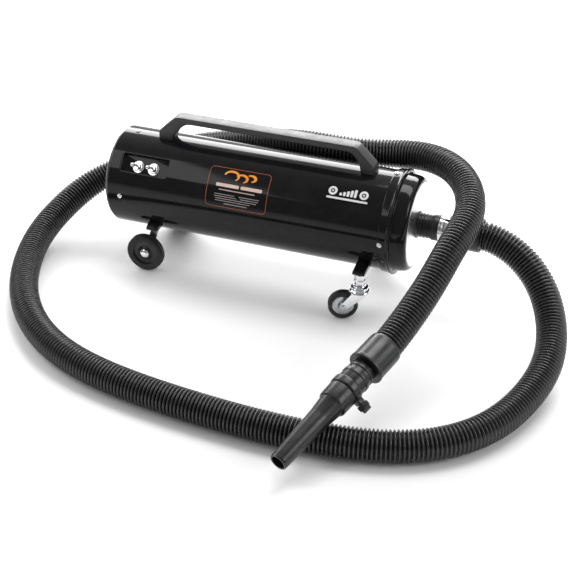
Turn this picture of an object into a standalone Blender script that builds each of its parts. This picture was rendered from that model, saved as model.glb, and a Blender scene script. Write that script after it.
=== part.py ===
"""Twin-motor grooming dryer: a steel tube on two wheels and two casters, with a hose and a nozzle.

Metres, +Z up. X runs along the tube's axis towards the air outlet, -Y is the side with the
switches, and the origin is on the floor below the middle of the machine without its hose.
"""

import math

import bmesh
import bpy
import numpy as np
from mathutils import Matrix, Vector

# Driving dimensions
AXIS_Z = 0.150            # height of the tube's axis over the floor
TUBE_R = 0.089            # outer radius of the steel tube
WALL = 0.002              # wall of the tube
TUBE_REAR = -0.302        # rear rim of the tube
TUBE_FRONT = 0.2205       # front end of the tube, inside the front cap's skirt
TUBE_STEPS = 44           # sides of the tube and of all that fits round it
GAP = 0.0003              # gap left between two pieces that touch
CAP_FACE = 0.257          # flat face of the front cap
OUTLET_END = 0.313        # end of the chrome outlet ring
COVER_FACE = -0.313       # outer face of the filter cover
HANDLE_TOP = 0.286        # top face of the handle
HANDLE_W = 0.026          # width of the handle
HOSE_R = 0.026            # outer radius of the hose over its ribs
WHEEL_R = 0.0355          # rear wheel
WHEEL_W = 0.020
WHEEL_X = -0.237          # rear axle
WHEEL_Y = 0.080           # middle of a rear wheel, from the tube's centre plane
CASTER_X = 0.183          # caster's swivel axis
CASTER_Y = 0.096
CASTER_R = 0.0265         # caster wheel
CASTER_TRAIL = 0.0285     # from the swivel axis back to the caster's axle
CASTER_TURN = math.radians(21.6)   # how far each caster's trail is turned outwards
WHEEL_STEPS = 28          # sides of a wheel, an even number
PLATE_Z = 0.090           # underside of the four wheel brackets
REAR_REACH = 0.091        # how far the brackets stand out from the tube's centre plane
FRONT_REACH = 0.107
SWITCH_TILT = math.radians(42.0)   # the switch recess looks up at this angle
SWITCH_X = (-0.2515, -0.2217)
MOTOR_X = (-0.160, -0.020)         # rear face of each motor's fan housing
SCREW_R = 0.0022          # shank of the cap screws
SCREW_ANGLES = (0.0, 90.0, 180.0, 270.0)  # degrees up from the switch side
REAR_SCREW_X = -0.2785
FRONT_SCREW_X = 0.2145

# The hose, from the outlet cuff to the nozzle cuff
HOSE_ROUTE = [
    (0.3723, 0.0000, 0.1500), (0.4096, -0.0055, 0.1443), (0.4464, -0.0189, 0.1306),
    (0.4815, -0.0424, 0.1086), (0.5105, -0.0797, 0.0805), (0.5274, -0.1277, 0.0570),
    (0.5327, -0.1796, 0.0435), (0.5266, -0.2337, 0.0347), (0.5087, -0.2967, 0.0280),
    (0.4764, -0.3636, 0.0266), (0.4198, -0.4226, 0.0266), (0.3450, -0.4582, 0.0266),
    (0.2478, -0.4759, 0.0266), (0.1302, -0.4784, 0.0266), (0.0181, -0.4703, 0.0266),
    (-0.0821, -0.4564, 0.0266), (-0.1765, -0.4336, 0.0266), (-0.2633, -0.3942, 0.0266),
    (-0.3381, -0.3331, 0.0266), (-0.3956, -0.2554, 0.0266), (-0.4344, -0.1685, 0.0285),
    (-0.4508, -0.0850, 0.0378), (-0.4443, -0.0097, 0.0531), (-0.4163, 0.0527, 0.0759),
    (-0.3650, 0.0999, 0.1001), (-0.2953, 0.1228, 0.1289), (-0.2020, 0.1181, 0.1663),
    (-0.0951, 0.1062, 0.1977), (0.0068, 0.0939, 0.2189), (0.0942, 0.0955, 0.2204),
    (0.1661, 0.1062, 0.2218), (0.2191, 0.1031, 0.2292), (0.2697, 0.0838, 0.2348),
    (0.3113, 0.0513, 0.2336), (0.3456, -0.0033, 0.2236), (0.3565, -0.0651, 0.2109),
    (0.3485, -0.1294, 0.1938), (0.3373, -0.1903, 0.1685), (0.3205, -0.2576, 0.1393),
    (0.3000, -0.3280, 0.1150),
]
HOSE_START = (0.9896, -0.1017, -0.1019)   # the hose droops as it leaves the cuff
HOSE_END = (-0.2776, -0.9187, -0.2811)
HOSE_POINTS = 60
HOSE_LEAD = 0.006         # straight length at each end, square to the cuffs

# The nozzle's axis: where the hose enters its cuff, and the way that it points
NOZZLE_AT = Vector(HOSE_ROUTE[-1])
NOZZLE_DIR = Vector((-0.322, -0.912, -0.249)).normalized()
NOZZLE_MARKS = (0.0003, 0.055, 0.097, 0.111, 0.272)   # cuff, neck, clamp, nozzle, tip


# ---------------------------------------------------------------- helpers
def clear_scene():
    for obj in list(bpy.data.objects):
        bpy.data.objects.remove(obj, do_unlink=True)


def finish(name, color, roughness, metallic=0.0):
    mat = bpy.data.materials.get(name) or bpy.data.materials.new(name)
    mat.use_nodes = True
    shader = mat.node_tree.nodes["Principled BSDF"]
    shader.inputs["Base Color"].default_value = (*color, 1.0)
    shader.inputs["Roughness"].default_value = roughness
    shader.inputs["Metallic"].default_value = metallic
    return mat


def enamel():
    return finish("black_enamel", (0.012, 0.012, 0.013), 0.12)


def black_plastic():
    return finish("black_plastic", (0.025, 0.025, 0.027), 0.42)


def hose_plastic():
    return finish("hose_plastic", (0.045, 0.045, 0.046), 0.5)


def chrome():
    return finish("chrome", (0.85, 0.85, 0.86), 0.08, 1.0)


def steel():
    return finish("zinc_steel", (0.55, 0.56, 0.58), 0.3, 1.0)


def rubber():
    return finish("black_rubber", (0.03, 0.03, 0.03), 0.7)


def foam():
    return finish("filter_foam", (0.05, 0.05, 0.055), 0.95)


def copper():
    return finish("copper_winding", (0.72, 0.33, 0.15), 0.35, 1.0)


def laminated():
    return finish("laminated_core", (0.35, 0.35, 0.37), 0.45, 1.0)


def add_object(name, bm, mat, matrix=None, smooth=35.0):
    mesh = bpy.data.meshes.new(name)
    bmesh.ops.recalc_face_normals(bm, faces=bm.faces)
    bm.to_mesh(mesh)
    bm.free()
    mesh.shade_smooth()
    mesh.set_sharp_from_angle(angle=math.radians(smooth))
    obj = bpy.data.objects.new(name, mesh)
    bpy.context.scene.collection.objects.link(obj)
    if mat:
        mesh.materials.append(mat)
    if matrix is not None:
        obj.matrix_world = matrix
    return obj


def turned(profile, steps=32, phase=0.0, closed=True):
    """Spins a profile of (distance along X, radius) about X. An open one starts and ends on the axis."""
    bm = bmesh.new()
    start = Matrix.Rotation(phase, 3, "X")
    verts = [bm.verts.new(start @ Vector((x, 0.0, r))) for x, r in profile]
    pairs = list(zip(verts, verts[1:]))
    if closed:
        pairs.append((verts[-1], verts[0]))
    edges = [bm.edges.new(pair) for pair in pairs]
    bmesh.ops.spin(bm, geom=verts + edges, axis=(1, 0, 0), cent=(0, 0, 0),
                   angle=2 * math.pi, steps=steps, use_merge=True)
    bmesh.ops.remove_doubles(bm, verts=bm.verts, dist=1e-6)
    return bm


def box(size, centre=(0, 0, 0)):
    bm = bmesh.new()
    place = Matrix.Translation(Vector(centre)) @ Matrix.Diagonal((*size, 1.0))
    bmesh.ops.create_cube(bm, size=1.0, matrix=place)
    return bm


def prism(points, low, high, axis="Y"):
    """Extrudes an outline from low to high. Axis Y takes (x, z) points, X takes (y, z), Z takes (x, y)."""
    place = {"Y": lambda a, b, h: (a, h, b), "X": lambda a, b, h: (h, a, b),
             "Z": lambda a, b, h: (a, b, h)}[axis]
    bm = bmesh.new()
    face = bm.faces.new([bm.verts.new(place(a, b, low)) for a, b in points])
    made = bmesh.ops.extrude_face_region(bm, geom=[face])
    move = Vector(place(0.0, 0.0, high - low))
    bmesh.ops.translate(bm, vec=move, verts=[v for v in made["geom"] if isinstance(v, bmesh.types.BMVert)])
    return bm


def arc(centre, radius, start, end, steps=5):
    """Points of an arc, angles in degrees."""
    angles = np.radians(np.linspace(start, end, steps))
    return [(centre[0] + radius * math.cos(a), centre[1] + radius * math.sin(a)) for a in angles]


def rod_outline(radius, length, at=0.0):
    return [(at, 0.0), (at, radius), (at + length, radius), (at + length, 0.0)]


def combine(obj, operation, bm, name, matrix=None):
    """Cuts a shape from an object, or joins one to it, with a Boolean modifier."""
    tool = add_object(name, bm, None, matrix)
    tool.hide_render = True
    tool.display_type = "WIRE"
    mod = obj.modifiers.new(name, "BOOLEAN")
    mod.operation = operation
    mod.solver = "EXACT"
    mod.object = tool
    return tool


def cut(obj, bm, name, matrix=None):
    return combine(obj, "DIFFERENCE", bm, name, matrix)


def join(obj, bm, name, matrix=None):
    return combine(obj, "UNION", bm, name, matrix)


def along(point, direction):
    """A frame whose X axis looks along direction from point."""
    turn = Vector((1, 0, 0)).rotation_difference(Vector(direction))
    return Matrix.Translation(Vector(point)) @ turn.to_matrix().to_4x4()


def on_axis(x=0.0):
    return Matrix.Translation((x, 0.0, AXIS_Z))


def radial(x, degrees, radius=0.0):
    """A frame on the tube whose X axis looks outwards at an angle up from the switch side."""
    a = math.radians(degrees)
    out = Vector((0.0, -math.cos(a), math.sin(a)))
    return along(Vector((x, 0.0, AXIS_Z)) + out * radius, out)


# ---------------------------------------------------------------- body
def make_tube():
    inner = TUBE_R - WALL
    profile = [(TUBE_REAR, inner), (TUBE_REAR, TUBE_R), (TUBE_FRONT, TUBE_R), (TUBE_FRONT, inner)]
    tube = add_object("body_tube", turned(profile, TUBE_STEPS), enamel(), on_axis())
    window = box((0.094, 0.038, 0.030), (-0.236, 0.0, TUBE_R))
    cut(tube, window, "switch_window_cutter", switch_frame())
    for i, angle in enumerate(SCREW_ANGLES):
        for end, x in (("rear", REAR_SCREW_X), ("front", FRONT_SCREW_X)):
            hole = turned(rod_outline(SCREW_R + GAP, 0.012), 12, closed=False)
            cut(tube, hole, f"tube_{end}_hole_{i}_cutter", radial(x, angle, TUBE_R - 0.006))
    for i, x in enumerate(HANDLE_BOLT_X):
        hole = turned(rod_outline(0.0033, 0.012), 12, closed=False)
        cut(tube, hole, f"handle_hole_{i}_cutter", radial(x, 90.0, TUBE_R - 0.006))
    gland = turned(rod_outline(0.0063, 0.012), 16, closed=False)
    cut(tube, gland, "gland_hole_cutter", radial(GLAND_X, 180.0, TUBE_R - 0.006))


def make_front_cap():
    profile = [
        (0.2100, TUBE_R + GAP), (0.2100, 0.0918), (0.2250, 0.0930), (0.2268, 0.0940), (0.2283, 0.0938),
        (0.2292, 0.0925), (0.2300, 0.0868), (0.2480, 0.0852), (0.2530, 0.0825), (0.2558, 0.0796),
        (CAP_FACE, 0.0759), (CAP_FACE, 0.0172), (0.2530, 0.0172), (0.2530, 0.0750), (0.2460, 0.0815),
        (0.2300, 0.0825), (0.2215, 0.0835), (0.2215, TUBE_R + GAP),
    ]
    cap = add_object("front_cap", turned(profile, TUBE_STEPS), enamel(), on_axis())
    for i, angle in enumerate(SCREW_ANGLES):
        hole = turned(rod_outline(SCREW_R + GAP, 0.012), 12, closed=False)
        cut(cap, hole, f"cap_hole_{i}_cutter", radial(FRONT_SCREW_X, angle, TUBE_R - 0.002))


def make_rear_cap():
    profile = [
        (-0.3020 - GAP, 0.0660), (-0.3095, 0.0660), (-0.3095, 0.0820), (-0.3085, 0.0848), (-0.3060, 0.0862),
        (-0.3020 - GAP, 0.0864), (-0.2710, 0.0864), (-0.2710, 0.0840), (-0.3000, 0.0840), (-0.3000, 0.0660),
    ]
    cap = add_object("rear_cap", turned(profile, TUBE_STEPS), finish("rear_cap_gray", (0.10, 0.10, 0.105), 0.35),
                     on_axis())
    for i, angle in enumerate(SCREW_ANGLES):
        hole = turned(rod_outline(SCREW_R + GAP, 0.012), 12, closed=False)
        cut(cap, hole, f"rear_cap_hole_{i}_cutter", radial(REAR_SCREW_X, angle, TUBE_R - 0.009))
    cut(cap, box((0.0940, 0.0390, 0.0400), (-0.236, 0.0, PAN_FLOOR)), "cap_notch_cutter", switch_frame())


def make_filter():
    add_object("filter_foam", turned([(-0.2997, 0.0), (-0.2997, 0.0830), (-0.2880, 0.0830), (-0.2880, 0.0)],
                                     28, closed=False), foam(), on_axis())
    flange = [(COVER_FACE, 0.0600), (COVER_FACE, 0.0725), (-0.3098, 0.0740), (-0.3098, 0.0655),
              (-0.3003, 0.0655), (-0.3003, 0.0620), (-0.3098, 0.0600)]
    cover = add_object("filter_cover", turned(flange, 36), black_plastic(), on_axis())
    for i, radius in enumerate((0.018, 0.033, 0.048)):
        ring = [(-0.3125, radius - 0.0015), (-0.3125, radius + 0.0015),
                (-0.3100, radius + 0.0015), (-0.3100, radius - 0.0015)]
        join(cover, turned(ring, 24), f"cover_ring_{i}_adder", on_axis())
    for i in range(3):
        bar = box((0.0020, 0.0040, 0.1236), (-0.3115, 0.0, 0.0))
        spoke = Matrix.Translation((0, 0, AXIS_Z)) @ Matrix.Rotation(math.radians(60 * i), 4, "X")
        join(cover, bar, f"cover_spoke_{i}_adder", spoke)


def make_outlet():
    neck = [(0.2490, 0.0150), (0.2490, 0.0168), (CAP_FACE + GAP, 0.0168), (CAP_FACE + GAP, 0.0212)]
    for i in range(3):
        x = 0.2620 + 0.0080 * i
        neck += [(x, 0.0212), (x + 0.0008, 0.0202), (x + 0.0024, 0.0202), (x + 0.0032, 0.0212)]
    neck += [(0.2850, 0.0212), (0.2856, 0.0228), (0.2966, 0.0228), (0.2966, 0.0150)]
    add_object("outlet_neck", turned(neck, 24), black_plastic(), on_axis())
    ring = [(0.2969, 0.0150), (0.2969, 0.0220), (0.2995, 0.0220), (0.3005, 0.0210), (OUTLET_END, 0.0210),
            (OUTLET_END, 0.0150)]
    add_object("outlet_ring", turned(ring, 24), chrome(), on_axis())


def make_cap_screws():
    for end, x, seat in (("rear", REAR_SCREW_X, TUBE_R), ("front", FRONT_SCREW_X, 0.0925)):
        for i, angle in enumerate(SCREW_ANGLES):
            low = seat + GAP
            shape = [(low - 0.0075, 0.0), (low - 0.0075, SCREW_R), (low, SCREW_R), (low, 0.0046),
                     (low + 0.0012, 0.0044), (low + 0.0022, 0.0032), (low + 0.0026, 0.0)]
            add_object(f"{end}_screw_{i + 1}", turned(shape, 16, closed=False), chrome(), radial(x, angle))


# ---------------------------------------------------------------- handle
HANDLE_BOLT_X = (-0.218, 0.164)


def make_handle():
    outline = [(-0.230, 0.225), (-0.230, 0.2545), (-0.196, HANDLE_TOP), (0.143, HANDLE_TOP),
               (0.178, 0.2510), (0.178, 0.225), (0.1535, 0.225), (0.1500, 0.2450)]
    outline += arc((0.1330, 0.2630), 0.012, 0.0, 90.0)
    outline += arc((-0.1700, 0.2600), 0.015, 90.0, 135.0, 4)
    outline += [(-0.2040, 0.2420), (-0.2060, 0.225)]
    half = HANDLE_W / 2
    handle = add_object("handle", prism(outline, -half, half), black_plastic(), smooth=20.0)
    cut(handle, saddle(), "handle_saddle_cutter", on_axis())
    for i, x in enumerate(HANDLE_BOLT_X):
        hole = turned(rod_outline(0.0033, 0.020), 12, closed=False)
        cut(handle, hole, f"foot_hole_{i}_cutter", radial(x, 90.0, TUBE_R - 0.008))
        low = TUBE_R - WALL - 3 * GAP
        shape = [(low - 0.004, 0.0), (low - 0.004, 0.0055), (low, 0.0055), (low, 0.003),
                 (low + 0.0110, 0.003), (low + 0.0110, 0.0)]
        add_object(f"handle_bolt_{i + 1}", turned(shape, 12, closed=False), steel(), radial(x, 90.0))


# ---------------------------------------------------------------- switches
def switch_frame():
    """X along the tube, Z out through the middle of the switch recess, origin on the tube's axis."""
    return Matrix.Translation((0, 0, AXIS_Z)) @ Matrix.Rotation(math.pi / 2 - SWITCH_TILT, 4, "X")


PAN_TOP = 0.0862
PAN_FLOOR = 0.0765
SWITCH_Y = -0.0030        # the toggles sit a little below the recess's middle
NUT_R = 0.0108


def make_switches():
    frame = switch_frame()
    pan = add_object("switch_panel", box((0.0934, 0.0374, PAN_TOP - PAN_FLOOR + 0.0015),
                                         (-0.236, 0.0, (PAN_TOP + PAN_FLOOR - 0.0015) / 2)), enamel(), frame)
    cut(pan, box((0.0904, 0.0344, 0.020), (-0.236, 0.0, PAN_FLOOR + 0.010)), "pan_hollow_cutter", frame)
    for i, x in enumerate(SWITCH_X):
        at = frame @ Matrix.Translation((x, SWITCH_Y, 0.0)) @ Matrix.Rotation(-math.pi / 2, 4, "Y")
        cut(pan, turned(rod_outline(0.0063, 0.010, PAN_FLOOR - 0.005), 20, closed=False),
            f"pan_hole_{i}_cutter", at)
        low = PAN_FLOOR - 0.0015 - GAP
        body = add_object(f"switch_body_{i + 1}", box((0.0220, 0.0260, 0.0140), (low - 0.0110, 0.0, 0.0)),
                          finish("switch_phenolic", (0.05, 0.02, 0.015), 0.5), at)
        join(body, turned(rod_outline(0.0060, 0.0110, low - 0.002), 16, closed=False),
             f"bushing_{i}_adder", at)
        nut = [(PAN_FLOOR + GAP, 0.0072), (PAN_FLOOR + GAP, NUT_R), (PAN_FLOOR + 0.0034, NUT_R),
               (PAN_FLOOR + 0.0034, 0.0072)]
        add_object(f"switch_nut_{i + 1}", turned(nut, 6), chrome(), at, smooth=20.0)
        make_lever(i, frame, x, low + 0.0090)


LEVER_LEAN = math.radians(12.0)


def make_lever(i, frame, x, bushing_top):
    pivot = bushing_top + 0.0030
    shape = arc((0.0, 0.0), 0.0026, 180.0, 60.0, 5)
    shape += [(0.0060, 0.0019), (0.0175, 0.0034), (0.0205, 0.0031), (0.0220, 0.0)]
    place = frame @ Matrix.Translation((x, SWITCH_Y, pivot)) @ Matrix.Rotation(LEVER_LEAN, 4, "X")
    place = place @ Matrix.Rotation(-math.pi / 2, 4, "Y")
    shape[0] = (shape[0][0], 0.0)
    add_object(f"switch_lever_{i + 1}", turned(shape, 14, closed=False), chrome(), place)


GLAND_X = -0.262


def make_gland():
    low = TUBE_R + GAP
    shape = [(low - 0.005, 0.0035), (low - 0.005, 0.0060), (low, 0.0060), (low, 0.0090),
             (low + 0.003, 0.0090), (low + 0.008, 0.0065), (low + 0.008, 0.0035)]
    add_object("cord_gland", turned(shape, 20), black_plastic(), radial(GLAND_X, 180.0))


# ---------------------------------------------------------------- wheels and casters
def tyre_radius(radius, steps):
    """A wheel of flat facets stands on a facet, so its corners are a little further out."""
    return radius / math.cos(math.pi / steps)


def bracket_outline(side, reach):
    """The bracket seen along the tube: a flat plate, thicker where it meets the tube's flank."""
    points = [(reach, PLATE_Z), (reach, PLATE_Z + 0.006), (0.078, PLATE_Z + 0.012),
              (0.055, PLATE_Z + 0.012), (0.055, PLATE_Z)]
    return [(side * y, z) for y, z in points]


def saddle():
    """The tube's outside, a hair larger, which shapes the feet that stand on it."""
    return turned(rod_outline(TUBE_R + GAP, 0.8, -0.4), TUBE_STEPS, closed=False)


def make_rear_wheel(name, side):
    plate_x = -0.217
    bracket = add_object(f"rear_bracket_{name}", prism(bracket_outline(side, REAR_REACH), plate_x - 0.011,
                                                        plate_x + 0.011, "X"), enamel(), smooth=20.0)
    inner = WHEEL_Y - WHEEL_W / 2 - 0.0010
    leg = [(plate_x - 0.007, PLATE_Z + 0.002), (WHEEL_X - 0.008, WHEEL_R)]
    leg += arc((WHEEL_X, WHEEL_R), 0.008, 180.0, 360.0, 7)
    leg += [(plate_x + 0.007, PLATE_Z + 0.002)]
    low, high = sorted((side * (inner - 0.003), side * inner))
    join(bracket, prism(leg, low, high), f"rear_leg_{name}_adder")
    cut(bracket, saddle(), f"rear_saddle_{name}_cutter", on_axis())
    hub = Matrix.Translation((WHEEL_X, side * WHEEL_Y, WHEEL_R))
    turn = hub @ Matrix.Rotation(side * math.pi / 2, 4, "Z")
    cut(bracket, turned(rod_outline(0.0043, 0.060, -0.030), 16, closed=False),
        f"rear_axle_{name}_cutter", turn)
    half = WHEEL_W / 2
    r = tyre_radius(WHEEL_R, WHEEL_STEPS)
    wheel = [(-half, 0.0043), (-half, 0.0240), (-half + 0.001, 0.0300), (-half + 0.003, r - 0.0006),
             (-half + 0.005, r), (half - 0.005, r), (half - 0.003, r - 0.0006), (half - 0.0005, 0.0305),
             (half - 0.0015, 0.0285), (half - 0.0050, 0.0265), (half - 0.0060, 0.0120),
             (half - 0.0030, 0.0100), (half - 0.0030, 0.0043)]
    add_object(f"rear_wheel_{name}", turned(wheel, WHEEL_STEPS, math.pi / WHEEL_STEPS), rubber(), turn)
    cap = half - 0.0030 + GAP
    neck = -half - 0.004 - GAP
    bolt = [(neck - 0.005, 0.0), (neck - 0.005, 0.0065), (neck - GAP, 0.0065), (neck - GAP, 0.0040),
            (cap, 0.0040), (cap, 0.0082), (cap + 0.0015, 0.0080), (cap + 0.0032, 0.0055), (cap + 0.0038, 0.0)]
    add_object(f"wheel_bolt_{name}", turned(bolt, 20, closed=False), chrome(), turn)


def caster_frame(side):
    """At the foot of the swivel axis, with X pointing back along the trail."""
    trail = Vector((-math.cos(CASTER_TURN), side * math.sin(CASTER_TURN), 0.0))
    return Matrix.Translation((CASTER_X, side * CASTER_Y, 0.0)) @ Matrix.Rotation(
        math.atan2(trail.y, trail.x), 4, "Z")


def upright(frame):
    return frame @ Matrix.Rotation(-math.pi / 2, 4, "Y")


def make_caster(name, side):
    bracket = add_object(f"front_bracket_{name}", prism(bracket_outline(side, FRONT_REACH), CASTER_X - 0.011,
                                                         CASTER_X + 0.011, "X"), enamel(), smooth=20.0)
    cut(bracket, saddle(), f"front_saddle_{name}_cutter", on_axis())
    frame = caster_frame(side)
    up = upright(frame)
    cut(bracket, turned(rod_outline(0.0053, 0.060, 0.080), 16, closed=False),
        f"stem_hole_{name}_cutter", up)
    stem = [(0.0560, 0.0), (0.0560, 0.0040), (0.0700, 0.0040), (0.0700, 0.0098), (0.0885, 0.0098),
            (PLATE_Z - GAP, 0.0085), (PLATE_Z - GAP, 0.0050), (0.0965, 0.0050), (0.0965, 0.0)]
    add_object(f"caster_stem_{name}", turned(stem, 12, closed=False), chrome(), up, smooth=40.0)
    hood = [(0.0540, 0.0043), (0.0540, 0.0185), (0.0562, 0.0190), (0.0600, 0.0150), (0.0625, 0.0145),
            (0.0655, 0.0105), (0.0690, 0.0095), (0.0697, 0.0043)]
    yoke = add_object(f"caster_yoke_{name}", turned(hood, 20), chrome(), up, smooth=40.0)
    leg = [(-0.0120, 0.0555), (-0.0120, 0.0500), (-0.0020, 0.0380)]
    leg += arc((CASTER_TRAIL, CASTER_R), 0.0065, 225.0, 400.0, 7)
    leg += [(0.0125, 0.0555)]
    for i, (low, high) in enumerate(((-0.0125, -0.0105), (0.0105, 0.0125))):
        join(yoke, prism(leg, low, high), f"fork_{name}_{i}_adder", frame)
    axle_at = frame @ Matrix.Translation((CASTER_TRAIL, 0.0, CASTER_R)) @ Matrix.Rotation(
        math.pi / 2, 4, "Z")
    cut(yoke, turned(rod_outline(0.0033, 0.040, -0.020), 14, closed=False), f"fork_hole_{name}_cutter",
        axle_at)
    axle = [(-0.0150, 0.0), (-0.0150, 0.0045), (-0.0128, 0.0055), (-0.0128, 0.0030), (0.0128, 0.0030),
            (0.0128, 0.0055), (0.0150, 0.0045), (0.0150, 0.0)]
    add_object(f"caster_axle_{name}", turned(axle, 14, closed=False), steel(), axle_at)
    r = tyre_radius(CASTER_R, WHEEL_STEPS)
    wheel = [(-0.0090, 0.0034), (-0.0090, 0.0060), (-0.0060, 0.0100), (-0.0065, 0.0200), (-0.0090, 0.0225),
             (-0.0085, r - 0.0012), (-0.0060, r), (0.0060, r), (0.0085, r - 0.0012), (0.0090, 0.0225),
             (0.0065, 0.0200), (0.0060, 0.0100), (0.0090, 0.0060), (0.0090, 0.0034)]
    add_object(f"caster_wheel_{name}", turned(wheel, WHEEL_STEPS, math.pi / WHEEL_STEPS), rubber(), axle_at)


# ---------------------------------------------------------------- motors
def make_sleeve():
    low = MOTOR_X[0] + 0.010
    high = MOTOR_X[1] + 0.030
    shape = [(low, 0.0705), (low, 0.0845), (low + 0.002, 0.0864), (high - 0.002, 0.0864), (high, 0.0845),
             (high, 0.0705)]
    add_object("motor_sleeve", turned(shape, TUBE_STEPS), foam(), on_axis())


def make_motor(number, x):
    name = f"{number}"
    place = on_axis(x)
    housing = [(0.0, 0.022), (0.0, 0.068), (0.002, 0.070), (0.045, 0.070), (0.045, 0.012),
               (0.0435, 0.012), (0.0435, 0.0685), (0.0015, 0.0685), (0.0015, 0.022)]
    can = add_object(f"fan_housing_{name}", turned(housing, 28), steel(), place)
    for i in range(6):
        angle = 60.0 * i + 30.0
        port = turned(rod_outline(0.008, 0.010), 10, closed=False)
        spot = place @ Matrix.Rotation(math.radians(angle), 4, "X") @ Matrix.Translation((0.040, 0.0, 0.058))
        cut(can, port, f"port_{name}_{i}_cutter", spot)
    fan = add_object(f"impeller_{name}", turned([(0.008, 0.0043), (0.008, 0.0640), (0.0095, 0.0640),
                                                  (0.0095, 0.0110), (0.034, 0.0090), (0.034, 0.0043)], 32),
                     finish("fan_aluminium", (0.7, 0.7, 0.72), 0.35, 1.0), place)
    for i in range(7):
        blade = prism([(0.0100, -0.0008), (0.0350, 0.0060), (0.0600, 0.0180), (0.0610, 0.0168),
                       (0.0360, 0.0046), (0.0110, -0.0022)], 0.009, 0.030, "X")
        spot = place @ Matrix.Rotation(2 * math.pi * i / 7, 4, "X")
        join(fan, blade, f"blade_{name}_{i}_adder", spot)
    frame = [(0.0453, 0.047), (0.0453, 0.051), (0.115, 0.051), (0.115, 0.0045), (0.112, 0.0045),
             (0.112, 0.047)]
    bridge = add_object(f"motor_frame_{name}", turned(frame, 32), laminated(), place)
    cut(bridge, box((0.055, 0.20, 0.052), (0.0785, 0.0, 0.0)), f"window_{name}_cutter", place)
    core = add_object(f"stator_{name}", turned([(0.057, 0.0255), (0.057, 0.0455), (0.090, 0.0455),
                                                 (0.090, 0.0255)], 32), copper(), place)
    for i, z in enumerate((-0.036, 0.036)):
        join(core, box((0.047, 0.034, 0.010), (0.0735, 0.0, z)), f"coil_{name}_{i}_adder", place)
    shaft = [(0.0040, 0.0), (0.0040, 0.0040), (0.058, 0.0040), (0.058, 0.0246), (0.089, 0.0246),
             (0.089, 0.0040), (0.095, 0.0040), (0.095, 0.0120), (0.108, 0.0120), (0.108, 0.0040),
             (0.118, 0.0040), (0.118, 0.0)]
    add_object(f"armature_{name}", turned(shaft, 24, closed=False), laminated(), place)


# ---------------------------------------------------------------- hose and nozzle
def smooth_curve(route, start, end):
    """A cubic spline through the route's points, by chord length, clamped to the end directions."""
    p = np.array(route)
    h = np.linalg.norm(np.diff(p, axis=0), axis=1)
    slopes = np.diff(p, axis=0) / h[:, None]
    n = len(p)
    a = np.zeros((n, n))
    b = np.zeros((n, 3))
    a[0, 0] = a[-1, -1] = 1.0
    b[0] = start
    b[-1] = end
    for i in range(1, n - 1):
        a[i, i - 1] = h[i]
        a[i, i] = 2.0 * (h[i - 1] + h[i])
        a[i, i + 1] = h[i - 1]
        b[i] = 3.0 * (h[i] * slopes[i - 1] + h[i - 1] * slopes[i])
    d = np.linalg.solve(a, b)
    knots = np.concatenate([[0.0], np.cumsum(h)])

    def at(t):
        i = np.clip(np.searchsorted(knots, t, side="right") - 1, 0, n - 2)
        w = h[i][:, None]
        u = ((t - knots[i]) / h[i])[:, None]
        return ((1 + 2 * u) * (1 - u) ** 2 * p[i] + u * (1 - u) ** 2 * w * d[i]
                + u ** 2 * (3 - 2 * u) * p[i + 1] + u ** 2 * (u - 1) * w * d[i + 1])

    return at, knots[-1]


def make_hose():
    first = np.array(HOSE_ROUTE[0])
    last = np.array(HOSE_ROUTE[-1])
    route = [first + HOSE_LEAD * np.array((1.0, 0.0, 0.0)), *HOSE_ROUTE[1:-1],
             last - HOSE_LEAD * np.array(NOZZLE_DIR)]
    at, total = smooth_curve(route, HOSE_START, HOSE_END)
    points = np.vstack([first, at(np.linspace(0.0, total, HOSE_POINTS)), last])
    curve = bpy.data.curves.new("hose", "CURVE")
    curve.dimensions = "3D"
    curve.bevel_depth = HOSE_R
    curve.bevel_resolution = 3
    curve.use_fill_caps = True
    spline = curve.splines.new("POLY")
    spline.points.add(len(points) - 1)
    for point, place in zip(spline.points, points):
        point.co = (*place, 1.0)
    curve.materials.append(hose_plastic())
    bpy.context.scene.collection.objects.link(bpy.data.objects.new("hose", curve))


def make_outlet_cuff():
    start = OUTLET_END + GAP
    end = HOSE_ROUTE[0][0] - GAP
    shape = [(start, 0.0190), (start, 0.0245), (start + 0.003, 0.0285), (start + 0.028, 0.0290),
             (end - 0.004, 0.0300), (end, 0.0288), (end, 0.0190)]
    cuff = add_object("hose_cuff_outlet", turned(shape, 28), black_plastic(), on_axis())
    join(cuff, box((0.012, 0.008, 0.008), (end - 0.010, 0.0, 0.0310)), "cuff_lug_adder", on_axis())


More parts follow.
